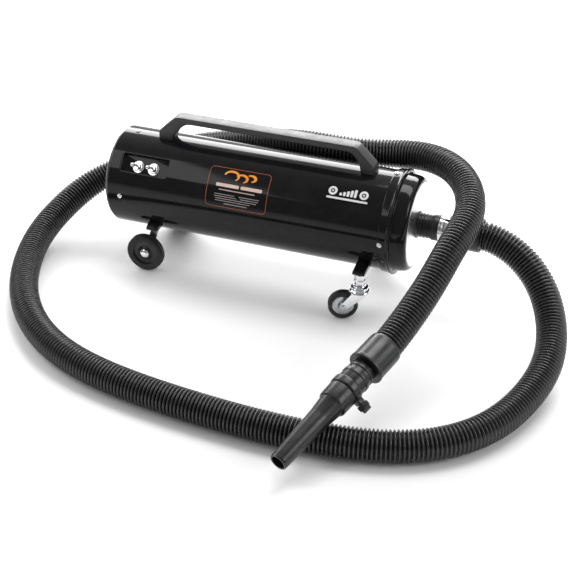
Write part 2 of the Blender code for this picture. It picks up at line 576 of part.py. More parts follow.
def make_nozzle():
    frame = along(NOZZLE_AT, NOZZLE_DIR)
    cuff, neck, clamp, nose, tip = NOZZLE_MARKS
    shape = [(cuff, 0.0170), (cuff, 0.0282), (cuff + 0.004, 0.0290), (neck - 0.006, 0.0296),
             (neck - 0.005, 0.0304), (neck, 0.0300), (neck, 0.0170)]
    add_object("hose_cuff_nozzle", turned(shape, 28), black_plastic(), frame)
    shape = [(neck + GAP, 0.0150), (neck + GAP, 0.0205), (clamp - 0.010, 0.0225), (clamp - GAP, 0.0232),
             (clamp - GAP, 0.0150)]
    add_object("nozzle_adaptor", turned(shape, 28), black_plastic(), frame)
    shape = [(clamp, 0.0150), (clamp, 0.0250), (clamp + 0.002, 0.0260), (nose - 0.002, 0.0260),
             (nose, 0.0250), (nose, 0.0150)]
    ring = add_object("nozzle_clamp", turned(shape, 28), black_plastic(), frame)
    mid = (clamp + nose) / 2
    join(ring, box((0.010, 0.016, 0.012), (mid, 0.0, 0.026)), "clamp_lug_adder", knob_frame(frame))
    base = [(0.0323, 0.0), (0.0323, 0.0095), (0.0345, 0.0100), (0.0400, 0.0100), (0.0420, 0.0085),
            (0.0420, 0.0)]
    place = knob_frame(frame) @ Matrix.Translation((mid, 0.0, 0.0)) @ Matrix.Rotation(-math.pi / 2, 4, "Y")
    knob = add_object("nozzle_knob", turned(base, 18, closed=False), black_plastic(), place, smooth=50.0)
    join(knob, box((0.006, 0.0026, 0.016), (0.0440, 0.0, 0.0)), "knob_wing_adder", place)
    nose_end = nose + GAP
    shape = [(nose_end, 0.0150), (nose_end, 0.0240), (nose_end + 0.003, 0.0248), (nose_end + 0.028, 0.0240),
             (nose_end + 0.031, 0.0210), (nose_end + 0.060, 0.0180), (tip - 0.002, 0.0146), (tip, 0.0140),
             (tip, 0.0114), (nose_end + 0.035, 0.0150)]
    add_object("nozzle", turned(shape, 28), black_plastic(), frame)


def knob_frame(frame):
    """The clamp's screw looks sideways and down, towards +X."""
    return frame @ Matrix.Rotation(KNOB_TURN, 4, "X")


KNOB_TURN = math.radians(-105.0)


def main():
    clear_scene()
    make_tube()
    make_front_cap()
    make_rear_cap()
    make_filter()
    make_outlet()
    make_cap_screws()
    make_handle()
    make_switches()
    make_gland()
    for name, side in (("near", -1), ("far", 1)):
        make_rear_wheel(name, side)
        make_caster(name, side)
    make_sleeve()
    for number, x in enumerate(MOTOR_X, 1):
        make_motor(number, x)
    make_outlet_cuff()
    make_hose()
    make_nozzle()


main()
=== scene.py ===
import math

import bmesh
import bpy
import numpy as np
from mathutils import Matrix, Vector


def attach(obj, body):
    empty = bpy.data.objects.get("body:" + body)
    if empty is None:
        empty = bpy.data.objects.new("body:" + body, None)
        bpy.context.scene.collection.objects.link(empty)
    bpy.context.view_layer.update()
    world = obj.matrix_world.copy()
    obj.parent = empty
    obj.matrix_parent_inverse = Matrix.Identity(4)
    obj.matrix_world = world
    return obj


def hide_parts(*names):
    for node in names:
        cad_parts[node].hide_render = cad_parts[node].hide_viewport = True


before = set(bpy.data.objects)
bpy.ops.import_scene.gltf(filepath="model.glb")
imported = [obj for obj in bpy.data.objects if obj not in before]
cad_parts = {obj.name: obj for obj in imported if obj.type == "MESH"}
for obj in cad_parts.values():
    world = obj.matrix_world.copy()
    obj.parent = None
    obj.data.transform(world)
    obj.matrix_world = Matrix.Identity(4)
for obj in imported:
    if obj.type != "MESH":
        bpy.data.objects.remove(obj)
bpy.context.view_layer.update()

scene = bpy.context.scene
scene.view_settings.view_transform = "Standard"
axisHeight = 0.15
tubeRadius = 0.089


def alongFrame(point, direction):
    # local X looks along direction, turned there by the shortest way
    turn = Vector((1, 0, 0)).rotation_difference(Vector(direction))
    return Matrix.Translation(Vector(point)) @ turn.to_matrix().to_4x4()


tubePlace = Matrix.Translation((0, 0, axisHeight))
lookUp = Matrix.Rotation(-math.pi / 2, 4, "Y")  # local X looks up
lookAcross = Matrix.Rotation(math.pi / 2, 4, "Z")  # local X looks along Y
enamelBlack = (0.006, 0.006, 0.0065)


def outwards(x, degrees):
    # local X looks straight out of the tube, at an angle up from the switch side
    a = math.radians(degrees)
    return alongFrame((x, 0.0, axisHeight), (0.0, -math.cos(a), math.sin(a)))


cameraSetup = dict(place=(0.7846, -2.071, 1.3752), yaw=-20.41, pitch=-32.57, lens=87.5)
floorSetup = dict(size=36.0, height=-0.0002, rows=24, color=(0.95, 0.95, 0.95), roughness=0.6)
lightSetup = [
    # name, place, looks at, width, height, watts
    ("behind", (-0.7, 2.5, 1.45), (0.0, 0.0, 0.1), 3.6, 1.1, 120.0),
    ("frontLeft", (-1.5, -1.6, 2.2), (-1.5, -1.6, 0.0), 1.05, 2.4, 20.0),
    ("left", (-2.7, 0.5, 1.5), (-0.1, 0.0, 0.15), 1.4, 1.2, 30.0),
    ("right", (2.6, -0.3, 1.5), (0.2, 0.0, 0.1), 1.0, 1.4, 22.0),
    ("above", (0.6, 1.2, 3.6), (0.3, 0.0, 0.0), 2.4, 1.4, 74.0),
]
worldSetup = dict(brightness=(0.24, 0.36, 0.85), backFrom=0.8)  # in front, beside, behind


def addCamera():
    camera = bpy.data.objects.new("camera", bpy.data.cameras.new("camera"))
    camera.data.lens = cameraSetup["lens"]
    camera.data.sensor_width = 36.0
    camera.data.clip_end = 60.0
    yaw = math.radians(cameraSetup["yaw"])
    pitch = math.radians(cameraSetup["pitch"])
    looks = Vector((math.sin(yaw) * math.cos(pitch), math.cos(yaw) * math.cos(pitch), math.sin(pitch)))
    camera.rotation_euler = looks.to_track_quat("-Z", "Y").to_euler()
    camera.location = cameraSetup["place"]
    scene.collection.objects.link(camera)
    scene.camera = camera


def addLights():
    for name, place, target, width, height, watts in lightSetup:
        light = bpy.data.lights.new(name, "AREA")
        light.shape = "RECTANGLE"
        light.size = width
        light.size_y = height
        light.energy = watts
        lamp = bpy.data.objects.new(name, light)
        lamp.location = place
        lamp.rotation_euler = (Vector(target) - Vector(place)).to_track_quat("-Z", "Y").to_euler()
        scene.collection.objects.link(lamp)
    world = bpy.data.worlds.new("studio")
    scene.world = world
    world.use_nodes = True
    nodes, links = world.node_tree.nodes, world.node_tree.links
    sky = nodes["Background"]
    ramp = nodes.new("ShaderNodeValToRGB")
    toUnit = nodes.new("ShaderNodeMapRange")
    toUnit.inputs["From Min"].default_value = -1.0
    way = nodes.new("ShaderNodeSeparateXYZ")
    where = nodes.new("ShaderNodeTexCoord")
    links.new(where.outputs["Generated"], way.inputs[0])
    links.new(way.outputs["Y"], toUnit.inputs["Value"])
    links.new(toUnit.outputs["Result"], ramp.inputs[0])
    links.new(ramp.outputs[0], sky.inputs["Color"])
    # darker in front of the object, brighter behind it
    stops = ramp.color_ramp.elements
    stops[1].position = worldSetup["backFrom"]
    stops.new(0.5)
    for stop, value in zip(stops, worldSetup["brightness"]):
        stop.color = (value, value, value * 1.02, 1)


def meshObject(name, points, quads, tris=(), smooth=35.0, extra=()):
    # points and faces go straight into a mesh, which is then made to face outwards
    mesh = bpy.data.meshes.new(name)
    faces = [tuple(f) for group in (quads, tris) for f in np.asarray(group).tolist()]
    faces += [tuple(f) for f in extra]
    mesh.from_pydata(np.asarray(points, float).tolist(), [], faces)
    work = bmesh.new()
    work.from_mesh(mesh)
    bmesh.ops.remove_doubles(work, verts=work.verts, dist=1e-7)
    bmesh.ops.recalc_face_normals(work, faces=work.faces)
    if work.calc_volume(signed=True) < 0:
        bmesh.ops.reverse_faces(work, faces=work.faces)
    work.to_mesh(mesh)
    work.free()
    mesh.shade_smooth()
    mesh.set_sharp_from_angle(angle=math.radians(smooth))
    piece = bpy.data.objects.new(name, mesh)
    scene.collection.objects.link(piece)
    return piece


def moved(points, place):
    m = np.array(place)
    return np.asarray(points) @ m[:3, :3].T + m[:3, 3]


def gridFaces(rows, columns, wrapRows=False, wrapColumns=True):
    # the four corners of every cell of a grid of rows by columns
    r = np.arange(rows if wrapRows else rows - 1)
    c = np.arange(columns if wrapColumns else columns - 1)
    i, j = [v.ravel() for v in np.meshgrid(r, c, indexing="ij")]
    i2, j2 = (i + 1) % rows, (j + 1) % columns
    return np.stack([i * columns + j, i2 * columns + j, i2 * columns + j2, i * columns + j2], 1)


def withInside(quads, count):
    # the same faces again on the inner layer, `count` points on, and a wall along every open edge
    edges = np.concatenate([quads[:, [0, 1]], quads[:, [1, 2]], quads[:, [2, 3]], quads[:, [3, 0]]])
    _, first, times = np.unique(np.sort(edges, 1), axis=0, return_index=True, return_counts=True)
    rim = edges[first[times == 1]]
    walls = np.stack([rim[:, 0], rim[:, 1], rim[:, 1] + count, rim[:, 0] + count], 1)
    return np.vstack([quads, quads[:, ::-1] + count, walls])


def softCorners(corners, radius, closed=True, steps=4):
    # each corner becomes a short quadratic curve that starts and ends `radius` away from it
    p = np.array([c[:2] for c in corners], float)
    r = np.array([c[2] if len(c) > 2 else radius for c in corners], float)
    before, after = np.roll(p, 1, 0) - p, np.roll(p, -1, 0) - p
    lengthBefore = np.linalg.norm(before, axis=1)
    lengthAfter = np.linalg.norm(after, axis=1)
    a = p + before * (np.minimum(r, 0.45 * lengthBefore) / lengthBefore)[:, None]
    b = p + after * (np.minimum(r, 0.45 * lengthAfter) / lengthAfter)[:, None]
    t = np.linspace(0, 1, steps)[None, :, None]
    curve = (1 - t) ** 2 * a[:, None] + 2 * t * (1 - t) * p[:, None] + t ** 2 * b[:, None]
    if closed:
        return curve.reshape(-1, 2)
    return np.vstack([p[:1], curve[1:-1].reshape(-1, 2), p[-1:]])


def turned(name, profile, place, steps=96, closed=True, smooth=35.0, wave=None):
    # a profile of (distance along X, radius) goes once round X: (x, r sin u, r cos u)
    profile = np.asarray(profile, float)
    u = np.linspace(0, 2 * math.pi, steps, endpoint=False)
    x = np.repeat(profile[:, 0], steps).reshape(-1, steps)
    r = np.repeat(profile[:, 1], steps).reshape(-1, steps)
    if wave is not None:
        x, r = wave(x, r, u[None, :])
    points = np.stack([x, r * np.sin(u), r * np.cos(u)], 2).reshape(-1, 3)
    quads = gridFaces(len(profile), steps, wrapRows=closed)
    return meshObject(name, moved(points, place), quads, smooth=smooth)


def insetOutline(outline, amount):
    # every point moves inwards along the bisector of its two sides
    p = np.asarray(outline, float)
    a, b = p - np.roll(p, 1, 0), np.roll(p, -1, 0) - p
    a /= np.linalg.norm(a, axis=1)[:, None]
    b /= np.linalg.norm(b, axis=1)[:, None]
    area = np.sum(p[:, 0] * np.roll(p[:, 1], -1) - np.roll(p[:, 0], -1) * p[:, 1])
    side = 1.0 if area > 0 else -1.0
    na = np.stack([-a[:, 1], a[:, 0]], 1) * side
    nb = np.stack([-b[:, 1], b[:, 0]], 1) * side
    n = na + nb
    n /= np.maximum(np.sum(n * na, axis=1), 0.35)[:, None]
    return p + n * amount


def slab(name, outline, low, high, edge, place=Matrix.Identity(4), steps=4, smooth=30.0):
    # an outline in local X and Z, carried along Y, with its two rims rounded by a quarter circle
    t = np.linspace(0, math.pi / 2, steps)
    heights = np.concatenate([low + edge * (1 - np.cos(t)), high - edge * (1 - np.cos(t[::-1]))])
    insets = np.concatenate([edge * (1 - np.sin(t)), edge * (1 - np.sin(t[::-1]))])
    rings = [insetOutline(outline, i) for i in insets]
    points = np.vstack([np.stack([ring[:, 0], np.full(len(ring), height), ring[:, 1]], 1)
                        for ring, height in zip(rings, heights)])
    count = len(rings[0])
    quads = gridFaces(len(rings), count)
    caps = [list(range(count)), list(range((len(rings) - 1) * count, len(rings) * count))]
    return meshObject(name, moved(points, place), quads, smooth=smooth, extra=caps)


def block(name, size, centre, edge, place=Matrix.Identity(4)):
    # a box with rounded edges, from a rounded rectangle carried along Y
    a, b = size[0] / 2, size[2] / 2
    outline = softCorners([(-a, -b), (a, -b), (a, b), (-a, b)], edge * 1.6)
    return slab(name, outline + np.array([centre[0], centre[2]]), centre[1] - size[1] / 2,
                centre[1] + size[1] / 2, edge, place)


def joined(name, pieces):
    # several shapes become one piece
    work = bmesh.new()
    for piece in pieces:
        work.from_mesh(piece.data)
    mesh = bpy.data.meshes.new(name)
    work.to_mesh(mesh)
    work.free()
    mesh.shade_smooth()
    mesh.set_sharp_from_angle(angle=math.radians(35.0))
    for piece in pieces:
        bpy.data.objects.remove(piece)
    whole = bpy.data.objects.new(name, mesh)
    scene.collection.objects.link(whole)
    return whole


def storeFloat(piece, name, values):
    # one number for each point, which a material can read
    attribute = piece.data.attributes.new(name, "FLOAT", "POINT")
    attribute.data.foreach_set("value", np.asarray(values, np.float32))


def newMaterial(name, color, roughness, metallic=0.0, **shaderValues):
    material = bpy.data.materials.new(name)
    material.use_nodes = True
    shader = material.node_tree.nodes["Principled BSDF"]
    shader.inputs["Base Color"].default_value = (*color, 1)
    shader.inputs["Roughness"].default_value = roughness
    shader.inputs["Metallic"].default_value = metallic
    for socket, value in shaderValues.items():
        shader.inputs[socket.replace("_", " ")].default_value = value
    return material, material.node_tree, shader


def addNode(tree, kind, **values):
    node = tree.nodes.new(kind)
    for key, value in values.items():
        if hasattr(node, key):
            setattr(node, key, value)
        else:
            node.inputs[key.replace("_", " ")].default_value = value
    return node


def noiseOn(tree, scale, detail=4.0, roughness=0.55, stretch=(1, 1, 1)):
    where = addNode(tree, "ShaderNodeTexCoord")
    mapping = addNode(tree, "ShaderNodeMapping")
    mapping.inputs["Scale"].default_value = stretch
    noise = addNode(tree, "ShaderNodeTexNoise", Scale=scale, Detail=detail, Roughness=roughness)
    tree.links.new(where.outputs["Object"], mapping.inputs["Vector"])
    tree.links.new(mapping.outputs["Vector"], noise.inputs["Vector"])
    return noise.outputs["Fac"]


def spread(tree, source, low, high, fromLow=0.3, fromHigh=0.7):
    node = addNode(tree, "ShaderNodeMapRange")
    node.inputs["From Min"].default_value = fromLow
    node.inputs["From Max"].default_value = fromHigh
    node.inputs["To Min"].default_value = low
    node.inputs["To Max"].default_value = high
    tree.links.new(source, node.inputs["Value"])
    return node.outputs["Result"]


def colorBetween(tree, source, first, second):
    mix = addNode(tree, "ShaderNodeMix", data_type="RGBA")
    mix.inputs["A"].default_value = (*first, 1)
    mix.inputs["B"].default_value = (*second, 1)
    tree.links.new(source, mix.inputs["Factor"])
    return mix.outputs["Result"]


def bumpFrom(tree, shader, source, distance, strength=1.0):
    bump = addNode(tree, "ShaderNodeBump", Strength=strength, Distance=distance)
    tree.links.new(source, bump.inputs["Height"])
    tree.links.new(bump.outputs["Normal"], shader.inputs["Normal"])


def enamelMaterial(name="blackEnamel", color=enamelBlack, dust=(0.01, 0.01, 0.011)):
    # sprayed gloss enamel: faint orange peel, a little dust, smears of polish
    material, tree, shader = newMaterial(name, color, 0.08, Specular_IOR_Level=0.22)
    tree.links.new(colorBetween(tree, spread(tree, noiseOn(tree, 38.0), 0, 1), color, dust),
                   shader.inputs["Base Color"])
    tree.links.new(spread(tree, noiseOn(tree, 14.0, 5.0), 0.06, 0.13), shader.inputs["Roughness"])
    bumpFrom(tree, shader, noiseOn(tree, 420.0, 2.0), 0.00004, 0.35)
    return material


def plasticMaterial(name, color, lighter, roughness=(0.34, 0.48), grain=900.0, depth=0.00006):
    # moulded plastic: fine grain, rubbed patches and uneven sheen
    material, tree, shader = newMaterial(name, color, roughness[0])
    tree.links.new(colorBetween(tree, spread(tree, noiseOn(tree, 24.0, 6.0), 0, 1), color, lighter),
                   shader.inputs["Base Color"])
    tree.links.new(spread(tree, noiseOn(tree, 60.0, 5.0), *roughness), shader.inputs["Roughness"])
    bumpFrom(tree, shader, noiseOn(tree, grain, 3.0), depth, 0.6)
    return material


def metalMaterial(name, color, roughness, stretch=(1, 1, 1), scale=80.0, depth=0.00002):
    # polished or drawn metal: fine streaks, fingermarks in its roughness
    material, tree, shader = newMaterial(name, color, roughness[0], 1.0)
    darker = tuple(c * 0.86 for c in color)
    streaks = spread(tree, noiseOn(tree, scale, 6.0, 0.6, stretch), 0, 1)
    tree.links.new(colorBetween(tree, streaks, color, darker), shader.inputs["Base Color"])
    tree.links.new(spread(tree, noiseOn(tree, scale * 0.5, 6.0, 0.6, stretch), *roughness),
                   shader.inputs["Roughness"])
    bumpFrom(tree, shader, noiseOn(tree, scale * 4, 3.0, 0.5, stretch), depth, 0.5)
    return material


def rubberMaterial(name="tyreRubber"):
    # black rubber: matt bloom and scuffs on the tread
    material, tree, shader = newMaterial(name, (0.018, 0.018, 0.018), 0.6)
    bloom = spread(tree, noiseOn(tree, 90.0, 8.0, 0.7), 0, 1, 0.45, 0.72)
    tree.links.new(colorBetween(tree, bloom, (0.009, 0.009, 0.009), (0.035, 0.034, 0.032)),
                   shader.inputs["Base Color"])
    tree.links.new(spread(tree, noiseOn(tree, 40.0, 5.0), 0.48, 0.72), shader.inputs["Roughness"])
    bumpFrom(tree, shader, noiseOn(tree, 1400.0, 4.0), 0.00012, 0.6)
    return material


def foamMaterial(name="openFoam"):
    # reticulated filter foam: small round cells, dark between them
    material, tree, shader = newMaterial(name, (0.03, 0.03, 0.032), 0.95)
    where = addNode(tree, "ShaderNodeTexCoord")
    cells = addNode(tree, "ShaderNodeTexVoronoi", Scale=700.0)
    tree.links.new(where.outputs["Object"], cells.inputs["Vector"])
    tree.links.new(colorBetween(tree, spread(tree, cells.outputs["Distance"], 0, 1, 0.1, 0.7),
                                (0.01, 0.01, 0.011), (0.07, 0.07, 0.075)), shader.inputs["Base Color"])
    bumpFrom(tree, shader, cells.outputs["Distance"], 0.0006, 0.8)
    return material


def copperMaterial(name="windingCopper"):
    # varnished wire: close parallel turns
    material, tree, shader = newMaterial(name, (0.62, 0.25, 0.1), 0.35, 1.0)
    where = addNode(tree, "ShaderNodeTexCoord")
    turns = addNode(tree, "ShaderNodeTexWave", Scale=260.0, Distortion=1.5, Detail=2.0)
    tree.links.new(where.outputs["Object"], turns.inputs["Vector"])
    tree.links.new(colorBetween(tree, turns.outputs["Fac"], (0.3, 0.09, 0.03), (0.8, 0.36, 0.16)),
                   shader.inputs["Base Color"])
    bumpFrom(tree, shader, turns.outputs["Fac"], 0.0004, 0.8)
    return material


def coreMaterial(name="coreSteel"):
    # a stack of thin steel sheets, edge on
    material, tree, shader = newMaterial(name, (0.3, 0.3, 0.31), 0.4, 1.0)
    where = addNode(tree, "ShaderNodeTexCoord")
    sheets = addNode(tree, "ShaderNodeTexWave", Scale=420.0, Distortion=0.4)
    tree.links.new(where.outputs["Object"], sheets.inputs["Vector"])
    tree.links.new(colorBetween(tree, sheets.outputs["Fac"], (0.16, 0.16, 0.165), (0.42, 0.42, 0.43)),
                   shader.inputs["Base Color"])
    bumpFrom(tree, shader, sheets.outputs["Fac"], 0.0002, 0.6)
    return material


def hoseMaterial(name, grooveShadeColor, crest):
    # corrugated plastic: the grooves are painted near black as shade, the crests carry the hose's own
    # charcoal, random grime over both; `rib` is 0 in a groove and 1 on a crest
    material, tree, shader = newMaterial(name, crest, 0.4)
    rib = addNode(tree, "ShaderNodeAttribute", attribute_name="rib")
    # painted shade: darkest in the grooves, rising to the plain hose colour on the crests
    paintedGrooveShade = colorBetween(tree, rib.outputs["Fac"], grooveShadeColor, crest)
    grime = addNode(tree, "ShaderNodeMix", data_type="RGBA", blend_type="MULTIPLY")
    tree.links.new(paintedGrooveShade, grime.inputs["A"])
    tree.links.new(colorBetween(tree, spread(tree, noiseOn(tree, 30.0, 6.0), 0, 1), (0.78, 0.78, 0.79),
                                (1.15, 1.15, 1.13)), grime.inputs["B"])
    grime.inputs["Factor"].default_value = 1.0
    tree.links.new(grime.outputs["Result"], shader.inputs["Base Color"])
    tree.links.new(spread(tree, noiseOn(tree, 45.0, 5.0), 0.2, 0.32), shader.inputs["Roughness"])
    bumpFrom(tree, shader, noiseOn(tree, 700.0, 3.0), 0.0001, 0.5)
    return material


enamel = enamelMaterial()
rearGray = enamelMaterial("rearCapGray", (0.06, 0.06, 0.064), (0.08, 0.08, 0.084))
satinBlack = plasticMaterial("satinBlackPlastic", (0.004, 0.004, 0.0045), (0.009, 0.009, 0.01),
                             (0.26, 0.4))
handlePlastic = plasticMaterial("handlePlastic", (0.014, 0.014, 0.015), (0.024, 0.024, 0.026),
                                (0.32, 0.44), 650.0, 0.00012)
phenolic = plasticMaterial("brownPhenolic", (0.035, 0.014, 0.01), (0.06, 0.025, 0.018))
chromePlate = metalMaterial("chromePlate", (0.86, 0.86, 0.87), (0.05, 0.14))
faceSteel = metalMaterial("capFaceSteel", (0.66, 0.66, 0.67), (0.22, 0.36), (6, 1, 1), 50.0)
zincSteel = metalMaterial("zincSteel", (0.55, 0.56, 0.58), (0.24, 0.38), (1, 6, 6), 60.0)
fanAluminium = metalMaterial("fanAluminium", (0.72, 0.72, 0.74), (0.26, 0.42))
tyreRubber = rubberMaterial()
openFoam = foamMaterial()
windingCopper = copperMaterial()
coreSteel = coreMaterial()
# the first colour is painted shade for the grooves, the second the hose's own charcoal on the crests
hoseSkin = hoseMaterial("hoseCharcoal", (0.0015, 0.0015, 0.0018), (0.026, 0.026, 0.027))


def finishWith(piece, material, body, replaces=()):
    piece.data.materials.clear()
    piece.data.materials.append(material)
    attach(piece, body)
    if replaces:
        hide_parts(*replaces)


hoseSetup = dict(
    radius=0.0258, groove=0.0216, pitch=0.0066, around=30, insideCuff=0.02,
    route=[
        (0.3723, 0.0, 0.15), (0.4096, -0.0055, 0.1443), (0.4464, -0.0189, 0.1306),
        (0.4815, -0.0424, 0.1086), (0.5105, -0.0797, 0.0805), (0.5274, -0.1277, 0.057),
        (0.5327, -0.1796, 0.0435), (0.5266, -0.2337, 0.0347), (0.5087, -0.2967, 0.028),
        (0.4764, -0.3636, 0.0266), (0.4198, -0.4226, 0.0266), (0.345, -0.4582, 0.0266),
        (0.2478, -0.4759, 0.0266), (0.1302, -0.4784, 0.0266), (0.0181, -0.4703, 0.0266),
        (-0.0821, -0.4564, 0.0266), (-0.1765, -0.4336, 0.0266), (-0.2633, -0.3942, 0.0266),
        (-0.3381, -0.3331, 0.0266), (-0.3956, -0.2554, 0.0266), (-0.4344, -0.1685, 0.0285),
        (-0.4508, -0.085, 0.0378), (-0.4443, -0.0097, 0.0531), (-0.4163, 0.0527, 0.0759),
        (-0.365, 0.0999, 0.1001), (-0.2953, 0.1228, 0.1289), (-0.202, 0.1181, 0.1663),
        (-0.0951, 0.1062, 0.1977), (0.0068, 0.0939, 0.2189), (0.0942, 0.0955, 0.2204),
        (0.1661, 0.1062, 0.2218), (0.2191, 0.1031, 0.2292), (0.2697, 0.0838, 0.2348),
        (0.3113, 0.0513, 0.2336), (0.3456, -0.0033, 0.2236), (0.3565, -0.0651, 0.2109),
        (0.3485, -0.1294, 0.1938), (0.3373, -0.1903, 0.1685), (0.3205, -0.2576, 0.1393),
        (0.3, -0.328, 0.115),
    ],
    start=(0.9896, -0.1017, -0.1019),
    end=(-0.2776, -0.9187, -0.2811),
    lead=0.006,
)
nozzleAt = Vector(hoseSetup["route"][-1])
nozzleWay = Vector((-0.322, -0.912, -0.249)).normalized()
nozzlePlace = alongFrame(nozzleAt, nozzleWay)


def smoothCurve(route, start, end):
    # a cubic spline by chord length, with its two end directions fixed
    p = np.array(route, float)
    h = np.linalg.norm(np.diff(p, axis=0), axis=1)
    slopes = np.diff(p, axis=0) / h[:, None]
    n = len(p)
    a = np.diag(np.concatenate([[1.0], 2 * (h[:-1] + h[1:]), [1.0]]))
    inner = np.arange(1, n - 1)
    a[inner, inner - 1] = h[1:]
    a[inner, inner + 1] = h[:-1]
    b = np.vstack([[start], 3 * (h[1:, None] * slopes[:-1] + h[:-1, None] * slopes[1:]), [end]])
    d = np.linalg.solve(a, b)
    knots = np.concatenate([[0.0], np.cumsum(h)])

    def at(t):
        i = np.clip(np.searchsorted(knots, t, side="right") - 1, 0, n - 2)
        w = h[i][:, None]
        u = ((t - knots[i]) / h[i])[:, None]
        return ((1 + 2 * u) * (1 - u) ** 2 * p[i] + u * (1 - u) ** 2 * w * d[i]
                + u ** 2 * (3 - 2 * u) * p[i + 1] + u ** 2 * (u - 1) * w * d[i + 1])

    return at, knots[-1]


def evenly(points, step):
    # the same line with its points a fixed distance apart
    s = np.concatenate([[0.0], np.cumsum(np.linalg.norm(np.diff(points, axis=0), axis=1))])
    t = np.arange(0.0, s[-1], step)
    return np.stack([np.interp(t, s, points[:, k]) for k in range(3)], 1), s[-1]


def makeHose():
    # a ring is carried along the path: path + r (cos u side + sin u up), where r follows the ribs
    s = hoseSetup
    first, last = np.array(s["route"][0]), np.array(s["route"][-1])
    outletWay, nozzleDir = np.array((1.0, 0, 0)), np.array(nozzleWay)
    route = [first + s["lead"] * outletWay, *s["route"][1:-1], last - s["lead"] * nozzleDir]
    at, total = smoothCurve(route, s["start"], s["end"])
    line = np.vstack([first - s["insideCuff"] * outletWay, first, at(np.linspace(0, total, 1500)), last,
                      last + s["insideCuff"] * nozzleDir])
    # a rib climbs over the first half of its pitch and drops back sharply at its end
    ribShape = np.array([0.0, 0.62, 1.0, 1.0, 0.72, 0.05])
    path, length = evenly(line, s["pitch"] / len(ribShape))
    rib = np.resize(ribShape, len(path))
    r = s["groove"] + (s["radius"] - s["groove"]) * rib
    tangent = np.gradient(path, axis=0)
    soften = np.ones(9) / 9
    tangent = np.stack([np.convolve(tangent[:, k], soften, "same") for k in range(3)], 1)
    tangent /= np.linalg.norm(tangent, axis=1)[:, None]
    side = np.cross(tangent, [0, 0, 1.0])
    side /= np.linalg.norm(side, axis=1)[:, None]
    up = np.cross(side, tangent)
    u = np.linspace(0, 2 * math.pi, s["around"], endpoint=False)
    ring = np.cos(u)[None, :, None] * side[:, None] + np.sin(u)[None, :, None] * up[:, None]
    points = (path[:, None] + r[:, None, None] * ring).reshape(-1, 3)
    quads = gridFaces(len(path), s["around"])
    lastRing = (len(path) - 1) * s["around"]
    caps = [list(range(s["around"])), list(range(lastRing, lastRing + s["around"]))]
    hose = meshObject("corrugated_hose", points, quads, smooth=60.0, extra=caps)
    storeFloat(hose, "rib", np.repeat(rib, s["around"]))
    finishWith(hose, hoseSkin, "base", ["hose"])
    print("hose:", round(length, 3), "m,", len(quads), "cells")
    return hose, path, length


cuffSetup = dict(start=0.3133, end=0.372, small=0.0286, large=0.03, flutes=26, fluteDepth=0.0007)
nozzleMarks = dict(cuff=0.0003, neck=0.055, clamp=0.097, nose=0.111, tip=0.272)
knobSetup = dict(turn=-105.0, flutes=18, fluteDepth=0.07, flutedFrom=0.009)


def flutes(count, depth, low, high):
    # grip grooves along X: the radius less depth times the cube of (1 + cos(count u)) / 2, faded out
    # at both ends
    def wave(x, r, u):
        inside = np.clip(np.minimum(x - low, high - x) / 0.003, 0, 1)
        return x, r - depth * inside * (0.5 + 0.5 * np.cos(count * u)) ** 3
    return wave


def makeOutletCuff():
    # turned about the tube's axis, with a lug beside its mouth
    s = cuffSetup
    a, b = s["start"], s["end"]
    profile = softCorners([
        (a, 0.019), (a, 0.0252), (a + 0.003, 0.0272), (a + 0.007, s["small"]), (a + 0.026, s["small"]),
        (a + 0.03, 0.0291), (b - 0.006, s["large"]), (b, s["large"]), (b, 0.0262), (b - 0.012, 0.0262),
        (b - 0.012, 0.019),
    ], 0.0012)
    cuff = turned("outlet_cuff_body", profile, tubePlace, 120,
                  wave=flutes(s["flutes"], s["fluteDepth"], a + 0.008, a + 0.026))
    lug = block("outlet_cuff_lug", (0.012, 0.008, 0.0075), (b - 0.01, 0.0, 0.0308), 0.0012, tubePlace)
    finishWith(joined("outlet_cuff", [cuff, lug]), satinBlack, "base", ["hose_cuff_outlet"])


